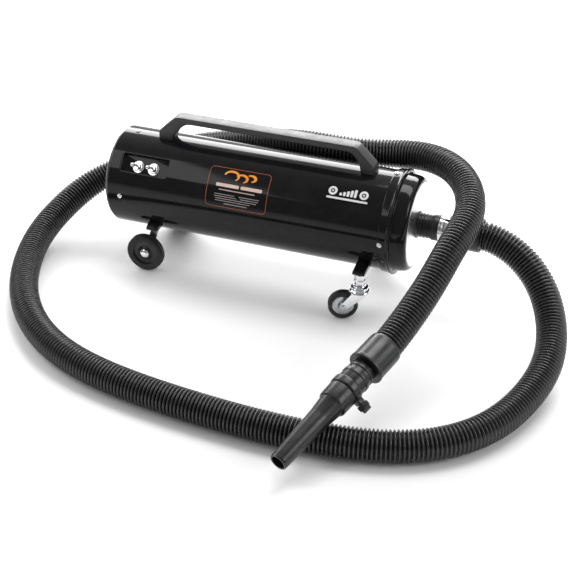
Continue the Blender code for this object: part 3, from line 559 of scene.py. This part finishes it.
def makeNozzle():
    # cuff, neck, clamp and cone are turned about the nozzle's own axis, the knob about one square to it
    m, k = nozzleMarks, knobSetup
    a, b = m["cuff"], m["neck"]
    profile = softCorners([
        (a, 0.0262), (a, 0.0282), (a + 0.004, 0.029), (b - 0.006, 0.0296), (b - 0.0052, 0.0304),
        (b - 0.0006, 0.0304), (b, 0.0296), (b, 0.017), (a + 0.012, 0.017), (a + 0.012, 0.0262),
    ], 0.0006)
    finishWith(turned("nozzle_cuff", profile, nozzlePlace, 120,
                      wave=flutes(28, 0.0005, a + 0.01, b - 0.014)),
               satinBlack, "base", ["hose_cuff_nozzle"])
    a, b = m["neck"] + 0.0003, m["clamp"] - 0.0003
    profile = softCorners([
        (a, 0.015), (a, 0.0206), (a + 0.008, 0.0206), (a + 0.009, 0.0226), (a + 0.013, 0.023),
        (a + 0.014, 0.0216), (a + 0.02, 0.0218), (a + 0.021, 0.024), (b - 0.014, 0.0244),
        (b - 0.013, 0.0232), (b, 0.0234), (b, 0.015),
    ], 0.0006)
    finishWith(turned("nozzle_neck", profile, nozzlePlace, 96), satinBlack, "base", ["nozzle_adaptor"])
    a, b = m["clamp"], m["nose"]
    profile = softCorners([(a, 0.015), (a, 0.0252), (a + 0.0015, 0.0262), (b - 0.0015, 0.0262),
                           (b, 0.0252), (b, 0.015)], 0.0008)
    ring = turned("clamp_ring", profile, nozzlePlace, 96)
    mid = (a + b) / 2
    turn = nozzlePlace @ Matrix.Rotation(math.radians(k["turn"]), 4, "X")
    knobAt = turn @ Matrix.Translation((mid, 0, 0)) @ lookUp
    lug = block("clamp_lug", (0.0105, 0.0165, 0.012), (mid, 0.0, 0.026), 0.0012, turn)
    finishWith(joined("nozzle_clamp_ring", [ring, lug]), satinBlack, "base", ["nozzle_clamp"])
    head = softCorners([(0.0323, 0.0), (0.0323, 0.0088), (0.034, 0.0098), (0.0402, 0.0098),
                        (0.0418, 0.0088), (0.0422, 0.0)], 0.0007, closed=False)

    def grip(x, r, u):
        # only the knob's outer wall is fluted
        dip = (r > k["flutedFrom"]) * (0.5 + 0.5 * np.cos(k["flutes"] * u))
        return x, r * (1 - k["fluteDepth"] * dip)

    knob = turned("knob_head", head, knobAt, 90, closed=False, wave=grip)
    wing = block("knob_wing", (0.007, 0.0028, 0.0162), (0.0435, 0.0, 0.0), 0.001, knobAt)
    finishWith(joined("clamp_thumb_knob", [knob, wing]), satinBlack, "knob", ["nozzle_knob"])
    a, b = m["nose"] + 0.0003, m["tip"]
    profile = softCorners([
        (a, 0.015), (a, 0.0238), (a + 0.002, 0.0248), (a + 0.0285, 0.024), (a + 0.03, 0.0228),
        (a + 0.0305, 0.021), (a + 0.06, 0.0181), (b - 0.003, 0.0147), (b, 0.0142), (b, 0.0115),
        (b - 0.003, 0.0112), (a + 0.035, 0.015),
    ], 0.0008)
    finishWith(turned("cone_nozzle", profile, nozzlePlace, 128), satinBlack, "nozzle", ["nozzle"])
    print("nozzle and cuffs")


tubeSetup = dict(rear=-0.302, front=0.2205, wall=0.002, switchTilt=42.0, windowX=(-0.283, -0.189),
                 windowHalf=0.019, corner=0.006)
capScrews = dict(angles=(0.0, 90.0, 180.0, 270.0), rear=-0.2785, front=0.2145, rearSeat=0.0892,
                 frontSeat=0.0928)


def makeTube():
    # the wall is a grid of stations along X by angles round it, left open inside the switch window
    s = tubeSetup
    tilt = math.radians(s["switchTilt"])
    half = math.asin(s["windowHalf"] / tubeRadius)
    low, high = s["windowX"]
    ease = np.array([0.0, 0.15, 0.5, 1.0, 1.6, 2.4, 3.4, 4.6]) * s["corner"] / 4.6
    x = np.unique(np.concatenate([[s["rear"], s["rear"] + 0.001], low + ease, high - ease,
                                  np.linspace(low + s["corner"], high - s["corner"], 6),
                                  np.linspace(high, s["front"], 12)]).round(6))
    across = np.concatenate([-half + ease / tubeRadius, half - ease[::-1] / tubeRadius])
    around = np.linspace(half, 2 * math.pi - half, 120)
    a = np.unique(np.concatenate([tilt + across, tilt + around]).round(7))[:-1]
    gx, ga = np.meshgrid(x, a, indexing="ij")
    outer, inner = [np.stack([gx, -r * np.cos(ga), r * np.sin(ga)], 2).reshape(-1, 3)
                    for r in (tubeRadius, tubeRadius - s["wall"])]
    quads = gridFaces(len(x), len(a))
    middle = outer[quads].mean(1)
    angle = np.arctan2(middle[:, 2], -middle[:, 1]) - tilt
    sideways = np.abs(angle) * tubeRadius
    alongX = np.abs(middle[:, 0] - (low + high) / 2)
    halfX, halfA, c = (high - low) / 2, half * tubeRadius, s["corner"]
    fromCorner = np.hypot(np.maximum(alongX - (halfX - c), 0), np.maximum(sideways - (halfA - c), 0))
    keep = ~((alongX < halfX) & (sideways < halfA) & (fromCorner < c))
    faces = withInside(quads[keep], len(outer))
    tube = meshObject("steel_tube", moved(np.vstack([outer, inner]), tubePlace), faces)
    finishWith(tube, enamel, "base", ["body_tube"])
    print("tube:", len(faces), "cells")


def makeCaps():
    # both caps are profiles turned about the tube's axis
    front = softCorners([
        (0.21, 0.0894), (0.21, 0.0912), (0.2112, 0.092), (0.2235, 0.0928), (0.2252, 0.0934),
        (0.2268, 0.0944), (0.2288, 0.0944), (0.23, 0.093), (0.2304, 0.088), (0.2312, 0.0868),
        (0.244, 0.0858, 0.003), (0.252, 0.0838, 0.004), (0.256, 0.0795, 0.003), (0.257, 0.0759, 0.002),
        (0.257, 0.0172), (0.253, 0.0172), (0.253, 0.075), (0.246, 0.0815), (0.23, 0.0825),
        (0.2215, 0.0835), (0.2215, 0.0894),
    ], 0.0008)
    finishWith(turned("front_cap_shell", front, tubePlace, 160), enamel, "base", ["front_cap"])
    plate = softCorners([(0.2562, 0.0174), (0.2562, 0.0752), (0.257, 0.0756), (0.2576, 0.075),
                         (0.2576, 0.0178)], 0.0003)
    finishWith(turned("front_cap_face", plate, tubePlace, 144), faceSteel, "base", ["front_cap"])
    rear = softCorners([
        (-0.3023, 0.066), (-0.3095, 0.066), (-0.3095, 0.081, 0.001), (-0.3088, 0.0842, 0.003),
        (-0.306, 0.0864, 0.002), (-0.3023, 0.0866), (-0.299, 0.0866), (-0.299, 0.084), (-0.3, 0.084),
        (-0.3, 0.066),
    ], 0.0008)
    finishWith(turned("rear_cap_ring", rear, tubePlace, 144), rearGray, "base", ["rear_cap"])
    print("caps")


coverSetup = dict(face=-0.3128, back=-0.31, rings=(0.0125, 0.0225, 0.0325, 0.0425, 0.0525), spokes=8)


def makeFilterCover():
    # a moulded grille: rim, concentric rings and spokes, with a push-in skirt
    s = coverSetup
    rim = softCorners([(-0.313, 0.06), (-0.313, 0.0725), (-0.3099, 0.074), (-0.3099, 0.0655),
                       (-0.3005, 0.0655), (-0.3005, 0.0622), (-0.3098, 0.06)], 0.0009)
    parts = [turned("cover_rim", rim, tubePlace, 120)]
    for radius in s["rings"]:
        ring = softCorners([(s["face"], radius - 0.0013), (s["face"], radius + 0.0013),
                            (s["back"], radius + 0.0013), (s["back"], radius - 0.0013)], 0.0006)
        parts.append(turned("cover_ring", ring, tubePlace, 72))
    for i in range(s["spokes"] // 2):
        turn = tubePlace @ Matrix.Rotation(math.pi * 2 * i / s["spokes"], 4, "X")
        parts.append(block("cover_spoke", (0.0024, 0.003, 0.123), (-0.3113, 0, 0), 0.0005, turn))
    hub = softCorners([(-0.313, 0.0), (-0.3128, 0.005), (-0.312, 0.0062), (-0.31, 0.0062),
                       (-0.31, 0.0)], 0.0006, closed=False)
    parts.append(turned("cover_hub", hub, tubePlace, 36, closed=False))
    finishWith(joined("intake_grille", parts), satinBlack, "filter_cover", ["filter_cover"])
    print("intake grille")


def makeOutlet():
    # a turned neck with four grip rings, and a turned metal ring in front of it
    neck = [(0.249, 0.015), (0.249, 0.0168), (0.2573, 0.0168), (0.2573, 0.0236), (0.259, 0.024),
            (0.2598, 0.0216)]
    for i in range(4):
        x = 0.2612 + 0.0058 * i
        neck += [(x, 0.0214), (x + 0.0007, 0.0198), (x + 0.0022, 0.0198), (x + 0.0029, 0.0214)]
    neck += [(0.2846, 0.0214), (0.2852, 0.023), (0.2962, 0.023), (0.2966, 0.0222), (0.2966, 0.015)]
    profile = softCorners(neck, 0.0005, steps=3)
    finishWith(turned("outlet_neck_rings", profile, tubePlace, 96), satinBlack, "base",
               ["outlet_neck"])
    ring = softCorners([(0.2969, 0.015), (0.2969, 0.0226), (0.299, 0.0226), (0.2998, 0.0212),
                        (0.303, 0.0212), (0.3036, 0.0219), (0.3058, 0.0219), (0.3064, 0.021),
                        (0.313, 0.0207), (0.313, 0.015)], 0.0006)
    finishWith(turned("outlet_chrome_ring", ring, tubePlace, 96), chromePlate, "base", ["outlet_ring"])
    print("outlet")


screwHead = dict(radius=0.0046, rise=0.0027, cross=0.0013, sunk=0.0004)


def domedScrew(name, x, angle, seat):
    # a pan head: its height is the rise times (1 - r^2) to the power 0.4, with r from 0 to 1 at the
    # rim, less a cross pressed into its middle
    rows, columns = 14, 48
    rise, cross, sunk = screwHead["rise"], screwHead["cross"], screwHead["sunk"]
    v = np.linspace(0, 1, rows)[1:, None]
    u = np.linspace(0, 2 * math.pi, columns, endpoint=False)[None, :]
    r = screwHead["radius"] * np.sin(v * math.pi / 2)
    h = rise * (np.cos(v * math.pi / 2) ** 0.8) + 0 * u
    a, b = r * np.cos(u), r * np.sin(u)
    arm = np.minimum(np.abs(a), np.abs(b))
    reach = np.maximum(np.abs(a), np.abs(b))
    h = h - cross * np.clip((0.00062 - arm) / 0.0003, 0, 1) * np.clip((0.0027 - reach) / 0.0005, 0, 1)
    top = np.stack([seat + h, a + 0 * h, b + 0 * h], 2).reshape(-1, 3)
    rim = top[-columns:] * [0, 1, 1] + [seat - sunk, 0, 0]
    points = np.vstack([top, rim, [[seat + rise - cross, 0, 0], [seat - sunk, 0, 0]]])
    quads = gridFaces(rows, columns)
    ring = np.arange(columns)
    last = (rows - 1) * columns
    tris = np.vstack([
        np.stack([np.full(columns, last + columns), ring, (ring + 1) % columns], 1),
        np.stack([np.full(columns, last + columns + 1), last + (ring + 1) % columns, last + ring], 1),
    ])
    return meshObject(name, moved(points, outwards(x, angle)), quads, tris, smooth=50.0)


def makeCapScrews():
    for end in ("front", "rear"):
        for i, angle in enumerate(capScrews["angles"]):
            screw = domedScrew(f"{end}_cap_screw_{i + 1}", capScrews[end], angle,
                               capScrews[end + "Seat"])
            finishWith(screw, chromePlate, "base", [f"{end}_screw_{i + 1}"])
    print("cap screws")


handleSetup = dict(width=0.026, edge=0.0016)


def makeHandle():
    # the side outline of bar and feet in X and Z, carried across the tube
    outline = softCorners([
        (-0.23, 0.234), (-0.23, 0.2545, 0.006), (-0.196, 0.286, 0.007), (0.143, 0.286, 0.007),
        (0.178, 0.251, 0.006), (0.178, 0.234), (0.1535, 0.234), (0.149, 0.259, 0.009),
        (0.133, 0.275, 0.009), (-0.178, 0.275, 0.012), (-0.202, 0.248, 0.009), (-0.205, 0.234),
    ], 0.0035, steps=6)
    half = handleSetup["width"] / 2
    handle = slab("carry_handle", outline, -half, half, handleSetup["edge"], steps=5)
    finishWith(handle, handlePlastic, "base", ["handle"])
    print("handle")


switchSetup = dict(x=(-0.2515, -0.2217), drop=-0.003, panFloor=0.0765, pivotLift=0.0102, lean=12.0)


def makeSwitches():
    s = switchSetup
    place = tubePlace @ Matrix.Rotation(math.pi / 2 - math.radians(tubeSetup["switchTilt"]), 4, "X")
    floor = s["panFloor"]
    # the pan: a rounded rectangle carried down its wall, across its floor and back up outside
    levels = np.array([0.0868, 0.0868, 0.0855, floor + 0.0015, floor + 0.0004, floor, floor - 0.0015,
                       floor - 0.0015])
    insets = np.array([0.0, 0.0016, 0.0018, 0.0019, 0.0023, 0.0034, 0.0034, 0.0])
    base = softCorners([(-0.2828, -0.0187), (-0.1892, -0.0187), (-0.1892, 0.0187), (-0.2828, 0.0187)],
                       0.0055, steps=7)
    rings = [insetOutline(base, i) for i in insets]
    points = np.vstack([np.stack([ring[:, 0], ring[:, 1], np.full(len(ring), level)], 1)
                        for ring, level in zip(rings, levels)])
    count = len(base)
    i = np.arange(count)
    j = (i + 1) % count
    outside = np.stack([i, i + 7 * count, j + 7 * count, j], 1)  # rings 0 to 5 inside, 6 and 7 outside
    quads = np.vstack([gridFaces(6, count), gridFaces(2, count) + 6 * count, outside])
    caps = [list(range(5 * count, 6 * count)), list(range(6 * count, 7 * count))]
    pan = meshObject("switch_recess", moved(points, place), quads, extra=caps)
    finishWith(pan, enamel, "base", ["switch_panel"])
    for number, x in enumerate(s["x"], 1):
        at = place @ Matrix.Translation((x, s["drop"], 0)) @ lookUp
        washer = softCorners([(floor + 0.0003, 0.0), (floor + 0.0003, 0.011), (floor + 0.0012, 0.011),
                              (floor + 0.0012, 0.0)], 0.0003, closed=False)
        nut = softCorners([(floor + 0.0008, 0.0), (floor + 0.0008, 0.0098), (floor + 0.0034, 0.0098),
                           (floor + 0.0041, 0.0088), (floor + 0.0041, 0.0)], 0.0003, closed=False)
        top = floor + 0.0072
        heights = np.arange(floor + 0.003, top, 0.0004)
        thread = np.stack([heights, 0.0058 + 0.00025 * (np.arange(len(heights)) % 2)], 1)
        bush = np.vstack([[(heights[0], 0.0)], thread, [(top + 0.0006, 0.0052), (top + 0.0008, 0.0)]])
        parts = [turned("toggle_washer", washer, at, 48, closed=False),
                 turned("toggle_nut", nut, at, 6, closed=False, smooth=20.0),
                 turned("toggle_bushing", bush, at, 40, closed=False)]
        finishWith(joined(f"toggle_nut_{number}", parts), chromePlate, "base",
                   [f"switch_nut_{number}"])
        lean = Matrix.Rotation(math.radians(s["lean"]), 4, "X")
        lever = place @ Matrix.Translation((x, s["drop"], floor + s["pivotLift"])) @ lean @ lookUp
        bat = softCorners([(-0.0022, 0.0), (-0.002, 0.0016), (0.0004, 0.0027), (0.003, 0.002),
                           (0.007, 0.002), (0.0175, 0.0035), (0.0212, 0.0032), (0.022, 0.0)], 0.0012,
                          closed=False)
        finishWith(turned(f"toggle_bat_{number}", bat, lever, 40, closed=False), chromePlate,
                   f"lever_{number}", [f"switch_lever_{number}"])
    print("switches")


wheelSetup = dict(x=-0.237, y=0.08, radius=0.0355, width=0.02)


def makeRearWheel(name, side):
    # tyre, hub and bolt are profiles turned about the axle
    s = wheelSetup
    hub = Matrix.Translation((s["x"], side * s["y"], s["radius"])) @ Matrix.Rotation(
        side * math.pi / 2, 4, "Z")
    h, r = s["width"] / 2, s["radius"]
    tyre = softCorners([
        (-h, 0.0225), (-h + 0.0004, 0.027), (-h + 0.0012, 0.0315), (-h + 0.003, r - 0.0008),
        (-h + 0.005, r), (-0.003, r), (-0.0026, r - 0.0012), (-0.001, r - 0.0012), (-0.0006, r),
        (0.0026, r), (0.003, r - 0.0012), (0.0046, r - 0.0012), (0.005, r), (h - 0.005, r),
        (h - 0.003, r - 0.0008), (h - 0.0012, 0.0315), (h - 0.0006, 0.03), (h - 0.0012, 0.029),
        (h - 0.0008, 0.027), (h - 0.0022, 0.0225),
    ], 0.0008, steps=3)
    finishWith(turned(f"wheel_tyre_{name}", tyre, hub, 128), tyreRubber, f"wheel_{name}",
               [f"rear_wheel_{name}"])
    dish = softCorners([
        (-h + 0.001, 0.0043), (-h + 0.001, 0.01), (-0.003, 0.012), (-0.003, 0.02),
        (-h + 0.0015, 0.0215), (-h + 0.0015, 0.0227), (h - 0.0022, 0.0227),
        (h - 0.0018, 0.0262, 0.0004), (h - 0.0026, 0.0258, 0.0004), (h - 0.0064, 0.0225),
        (h - 0.0068, 0.014), (h - 0.005, 0.0118), (h - 0.0036, 0.011), (h - 0.0034, 0.0043),
    ], 0.0007, steps=3)
    finishWith(turned(f"wheel_hub_{name}", dish, hub, 96), satinBlack, f"wheel_{name}",
               [f"rear_wheel_{name}"])
    cap = softCorners([
        (-h - 0.009, 0.0), (-h - 0.009, 0.0058), (-h - 0.0046, 0.0062), (-h - 0.0046, 0.0038),
        (h - 0.0032, 0.0038), (h - 0.0032, 0.0088), (h - 0.0022, 0.0088), (h - 0.0012, 0.0078),
        (h + 0.0006, 0.0052), (h + 0.001, 0.0),
    ], 0.0008, closed=False)
    finishWith(turned(f"wheel_cap_{name}", cap, hub, 64, closed=False), chromePlate, "base",
               [f"wheel_bolt_{name}"])


bracketSetup = dict(rearReach=0.091, frontReach=0.107, halfWidth=0.011, rearMiddle=-0.217)


def bracketPlate(name, side, reach, middle):
    # a bent strip: its outline is in Y and Z, and it runs along X
    points = [(reach, 0.09), (reach, 0.096), (0.078, 0.102), (0.062, 0.102), (0.062, 0.09)]
    outline = softCorners([(side * y, z) for y, z in points], 0.0018, steps=4)
    half = bracketSetup["halfWidth"]
    return slab(name, outline, -middle - half, -middle + half, 0.0008, lookAcross)


def makeRearBracket(name, side):
    s = wheelSetup
    plate = bracketPlate(f"wheel_bracket_{name}", side, bracketSetup["rearReach"],
                         bracketSetup["rearMiddle"])
    inner = s["y"] - s["width"] / 2 - 0.001
    a = np.radians(np.linspace(180, 360, 12))
    foot = [(s["x"] + 0.008 * math.cos(v), s["radius"] + 0.008 * math.sin(v), 0.001) for v in a]
    leg = softCorners([(-0.224, 0.0935), *foot, (-0.21, 0.0935)], 0.001, steps=3)
    low, high = sorted((side * (inner - 0.003), side * inner))
    finishWith(plate, enamel, "base", [f"rear_bracket_{name}"])
    finishWith(slab(f"wheel_leg_{name}", leg, low, high, 0.0005), zincSteel, "base",
               [f"rear_bracket_{name}"])


casterSetup = dict(x=0.183, y=0.096, radius=0.0265, trail=0.0285, turn=21.6)


def casterPlace(side):
    # local X is the way in which the wheel trails behind its upright pivot
    s = casterSetup
    turn = math.radians(s["turn"])
    return Matrix.Translation((s["x"], side * s["y"], 0)) @ Matrix.Rotation(
        math.atan2(side * math.sin(turn), -math.cos(turn)), 4, "Z")


def makeCaster(name, side):
    # post and hood are turned about the pivot, pin and wheel about the axle
    s = casterSetup
    place = casterPlace(side)
    up = place @ lookUp
    finishWith(bracketPlate(f"caster_bracket_{name}", side, bracketSetup["frontReach"], s["x"]),
               enamel, "base", [f"front_bracket_{name}"])
    stem = softCorners([(0.056, 0.0), (0.056, 0.0038), (0.07, 0.0038), (0.07, 0.007), (0.0705, 0.0098),
                        (0.077, 0.01), (0.0776, 0.0086), (0.08, 0.0086), (0.0806, 0.01),
                        (0.0885, 0.0098), (0.0897, 0.0085), (0.0897, 0.0)], 0.0006, closed=False)
    finishWith(turned(f"caster_post_{name}", stem, up, 64, closed=False), chromePlate, "base",
               [f"caster_stem_{name}"])
    hood = softCorners([(0.0538, 0.0043), (0.0538, 0.0165), (0.0532, 0.0186), (0.0548, 0.019),
                        (0.0572, 0.0176), (0.059, 0.015), (0.0606, 0.015), (0.0618, 0.016),
                        (0.0634, 0.0152), (0.065, 0.0118), (0.0672, 0.0104), (0.0692, 0.0098),
                        (0.0697, 0.008), (0.0697, 0.0043)], 0.0007, steps=3)
    parts = [turned("caster_hood", hood, up, 80)]
    a = np.radians(np.linspace(230, 395, 12))
    tip = [(s["trail"] + 0.0065 * math.cos(v), s["radius"] + 0.0065 * math.sin(v), 0.001) for v in a]
    leg = softCorners([(-0.0125, 0.0552), (-0.012, 0.0505), (-0.001, 0.04, 0.006), *tip,
                       (0.019, 0.048, 0.006), (0.0135, 0.0552)], 0.0012, steps=3)
    for low, high in ((-0.0125, -0.0108), (0.0108, 0.0125)):
        parts.append(slab("caster_leg", leg, low, high, 0.0004, place))
    finishWith(joined(f"caster_fork_{name}", parts), chromePlate, f"yoke_{name}",
               [f"caster_yoke_{name}"])
    axle = place @ Matrix.Translation((s["trail"], 0, s["radius"])) @ lookAcross
    pin = softCorners([(-0.0148, 0.0), (-0.0148, 0.004), (-0.0136, 0.0052), (-0.0126, 0.0052),
                       (-0.0126, 0.0029), (0.0126, 0.0029), (0.0126, 0.0052), (0.0136, 0.0052),
                       (0.0148, 0.004), (0.0148, 0.0)], 0.0004, closed=False)
    finishWith(turned(f"caster_pin_{name}", pin, axle, 48, closed=False), zincSteel, f"yoke_{name}",
               [f"caster_axle_{name}"])
    r = s["radius"]
    tread = softCorners([(-0.0062, 0.019), (-0.0088, 0.0205), (-0.009, 0.0228), (-0.0082, r - 0.0014),
                         (-0.0058, r), (0.0058, r), (0.0082, r - 0.0014), (0.009, 0.0228),
                         (0.0088, 0.0205), (0.0062, 0.019)], 0.0012, steps=4)
    finishWith(turned(f"caster_tread_{name}", tread, axle, 96), tyreRubber, f"caster_{name}",
               [f"caster_wheel_{name}"])
    hub = softCorners([(-0.01, 0.0033), (-0.01, 0.006), (-0.0082, 0.0072), (-0.0046, 0.009),
                       (-0.004, 0.017), (-0.0058, 0.0191), (0.0058, 0.0191), (0.004, 0.017),
                       (0.0046, 0.009), (0.0082, 0.0072), (0.01, 0.006), (0.01, 0.0033)],
                      0.0008, steps=3)
    finishWith(turned(f"caster_hub_{name}", hub, axle, 72), zincSteel, f"caster_{name}",
               [f"caster_wheel_{name}"])


labelSetup = dict(x=(-0.112, 0.005), angles=(57.0, 9.0), lift=0.00012, columns=150, rows=110)
filmSink = 0.0002  # how far a film reaches into the enamel
gaugeSetup = dict(x=(0.104, 0.187), angles=(58.0, 41.0), lift=0.00012, columns=90, rows=50)


def panelSheet(name, x, angles, lift, columns, rows):
    # a thin film on the tube: (x, angle) on a grid, with its own flat coordinates u and v in metres
    gx, ga = np.meshgrid(np.linspace(*x, columns), np.radians(np.linspace(*angles, rows)),
                         indexing="ij")
    layers = [np.stack([gx, -r * np.cos(ga), r * np.sin(ga)], 2).reshape(-1, 3)
              for r in (tubeRadius + lift, tubeRadius - filmSink)]
    faces = withInside(gridFaces(columns, rows, wrapColumns=False), len(layers[0]))
    return meshObject(name, moved(np.vstack(layers), tubePlace), faces)


def flatPlace(piece, x, angles):
    # where each point lies on the film, from its middle: u along X, v down round the tube
    count = len(piece.data.vertices)
    co = np.empty(count * 3, np.float32)
    piece.data.vertices.foreach_get("co", co)
    co = co.reshape(-1, 3)
    angle = np.arctan2(co[:, 2] - axisHeight, -co[:, 1])
    u = co[:, 0] - sum(x) / 2
    v = (angle - math.radians(sum(angles) / 2)) * tubeRadius
    return u.astype(float), v


def roundedBox(u, v, halfU, halfV, corner):
    # distance to a rounded rectangle, less than nothing inside it
    a, b = np.abs(u) - halfU + corner, np.abs(v) - halfV + corner
    return np.hypot(np.maximum(a, 0), np.maximum(b, 0)) + np.minimum(np.maximum(a, b), 0) - corner


def inkMaterial(name, inks):
    # gloss film the colour of the enamel, with inks where a stored distance is below nothing
    material, tree, shader = newMaterial(name, enamelBlack, 0.1, Specular_IOR_Level=0.22)
    last = None
    for attributeName, first, second in inks:
        distance = addNode(tree, "ShaderNodeAttribute", attribute_name=attributeName)
        mask = spread(tree, distance.outputs["Fac"], 1.0, 0.0, -0.00015, 0.00015)
        ink = colorBetween(tree, spread(tree, noiseOn(tree, 60.0), 0, 1), first, second)
        mix = addNode(tree, "ShaderNodeMix", data_type="RGBA")
        tree.links.new(mask, mix.inputs["Factor"])
        if last is None:
            mix.inputs["A"].default_value = (*enamelBlack, 1)
        else:
            tree.links.new(last, mix.inputs["A"])
        tree.links.new(ink, mix.inputs["B"])
        last = mix.outputs["Result"]
    tree.links.new(last, shader.inputs["Base Color"])
    tree.links.new(spread(tree, noiseOn(tree, 25.0, 4.0), 0.08, 0.16), shader.inputs["Roughness"])
    return material


def bars(u, v, rows):
    # the nearest of several plain bars: each is (middle u, middle v, half length, half height)
    return np.min([roundedBox(u - a, v - b, c, d, min(c, d) * 0.6) for a, b, c, d in rows], axis=0)


def makeLabel():
    s = labelSetup
    piece = panelSheet("front_label", **s)
    u, v = flatPlace(piece, s["x"], s["angles"])
    halfU = (s["x"][1] - s["x"][0]) / 2
    halfV = math.radians(s["angles"][0] - s["angles"][1]) / 2 * tubeRadius
    frameLine = np.abs(roundedBox(u, v, halfU - 0.0016, halfV - 0.0016, 0.007)) - 0.0006
    # three puffs of air: arcs of one circle each, thinner towards their tails
    puffs = []
    for a, b, radius, turn in ((-0.015, 0.0215, 0.013, 0.3), (0.004, 0.0195, 0.0105, 0.0),
                               (0.021, 0.0225, 0.0085, -0.3)):
        x, y = u - a, v - b
        angle = np.arctan2(y, x) - turn
        thickness = 0.003 * np.clip(np.cos(angle / 2 - 0.5), 0, 1) ** 1.5
        gap = 0.004 * (np.cos(angle - 0.9) < -0.35)
        puffs.append(np.abs(np.hypot(x, y * 1.5) - radius) - thickness + gap)
    swirl = np.min(puffs, axis=0)
    broad = bars(u, v, [(-0.019, 0.0035, 0.0215, 0.003), (0.026, 0.0035, 0.02, 0.003)])
    band = bars(u, v, [(0.0, -0.0048, 0.034, 0.001)])
    lines = bars(u, v, [(-0.022, -0.013, 0.019, 0.0007), (0.024, -0.013, 0.019, 0.0007),
                        (-0.02, -0.0168, 0.021, 0.0007), (0.025, -0.0168, 0.017, 0.0007),
                        (0.0, -0.0206, 0.039, 0.0007), (-0.006, -0.0244, 0.033, 0.0007),
                        (0.0, -0.029, 0.022, 0.0009)])
    for name, values in (("frameLine", frameLine), ("swirl", swirl), ("broad", broad), ("band", band),
                         ("lines", lines)):
        storeFloat(piece, name, values)
    ink = inkMaterial("labelInk", [
        ("frameLine", (0.3, 0.07, 0.035), (0.4, 0.11, 0.055)),
        ("swirl", (0.86, 0.24, 0.03), (0.92, 0.45, 0.08)),
        ("broad", (0.72, 0.5, 0.42), (0.8, 0.62, 0.55)),
        ("band", (0.48, 0.36, 0.3), (0.55, 0.42, 0.36)),
        ("lines", (0.3, 0.27, 0.26), (0.38, 0.35, 0.34)),
    ])
    finishWith(piece, ink, "base")


def makeGauge():
    # plain rising bars for airflow, and two rings for the two motors
    s = gaugeSetup
    piece = panelSheet("airflow_marks", **s)
    u, v = flatPlace(piece, s["x"], s["angles"])
    rings = np.min([np.abs(np.hypot(u - a, v - 0.003) - 0.006) - 0.002 for a in (-0.028, 0.028)],
                   axis=0)
    cores = np.min([np.hypot(u - a, v - 0.003) - 0.0018 for a in (-0.028, 0.028)], axis=0)
    rising = [(0.0065 * k, 0.0012 * k + 0.001, 0.0023, 0.005 + 0.0012 * k) for k in (-2, -1, 0, 1, 2)]
    middle = bars(u, v, rising)
    foot = bars(u, v, [(0.0, -0.0095, 0.037, 0.0018)])
    storeFloat(piece, "white", np.min([rings, cores, middle, foot], axis=0))
    ink = inkMaterial("whiteInk", [("white", (0.72, 0.72, 0.72), (0.82, 0.82, 0.82))])
    finishWith(piece, ink, "base")
    print("printed panels")


def dressInside():
    table = {
        openFoam: ["filter_foam", "motor_sleeve"],
        zincSteel: ["handle_bolt_1", "handle_bolt_2", "fan_housing_1", "fan_housing_2"],
        coreSteel: ["motor_frame_1", "motor_frame_2", "armature_1", "armature_2"],
        windingCopper: ["stator_1", "stator_2"],
        fanAluminium: ["impeller_1", "impeller_2"],
        phenolic: ["switch_body_1", "switch_body_2"],
        satinBlack: ["cord_gland"],
    }
    for material, names in table.items():
        for name in names:
            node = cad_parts[name]
            node.data.materials.clear()
            node.data.materials.append(material)
    print("inside pieces")


def makeFloor():
    # a wide flat grid, a hair below the wheels
    s = floorSetup
    half, n = s["size"] / 2, s["rows"]
    gx, gy = np.meshgrid(np.linspace(-half, half, n), np.linspace(-half, half, n), indexing="ij")
    points = np.stack([gx, gy, np.full_like(gx, s["height"])], 2).reshape(-1, 3)
    mesh = bpy.data.meshes.new("floor")
    mesh.from_pydata(points.tolist(), [], gridFaces(n, n, wrapColumns=False).tolist())
    floor = bpy.data.objects.new("floor", mesh)
    scene.collection.objects.link(floor)
    material, tree, shader = newMaterial("paleFloor", s["color"], s["roughness"])
    tree.links.new(colorBetween(tree, spread(tree, noiseOn(tree, 2.0), 0, 1), s["color"],
                                tuple(c * 0.985 for c in s["color"])), shader.inputs["Base Color"])
    mesh.materials.append(material)


addCamera()
addLights()
makeFloor()
hose, hosePath, hoseLength = makeHose()
makeOutletCuff()
makeNozzle()
makeTube()
makeCaps()
makeFilterCover()
makeOutlet()
makeCapScrews()
makeHandle()
makeSwitches()
for wheelName, wheelSide in (("near", -1), ("far", 1)):
    makeRearWheel(wheelName, wheelSide)
    makeRearBracket(wheelName, wheelSide)
    makeCaster(wheelName, wheelSide)
print("wheels and casters")
makeLabel()
makeGauge()
dressInside()
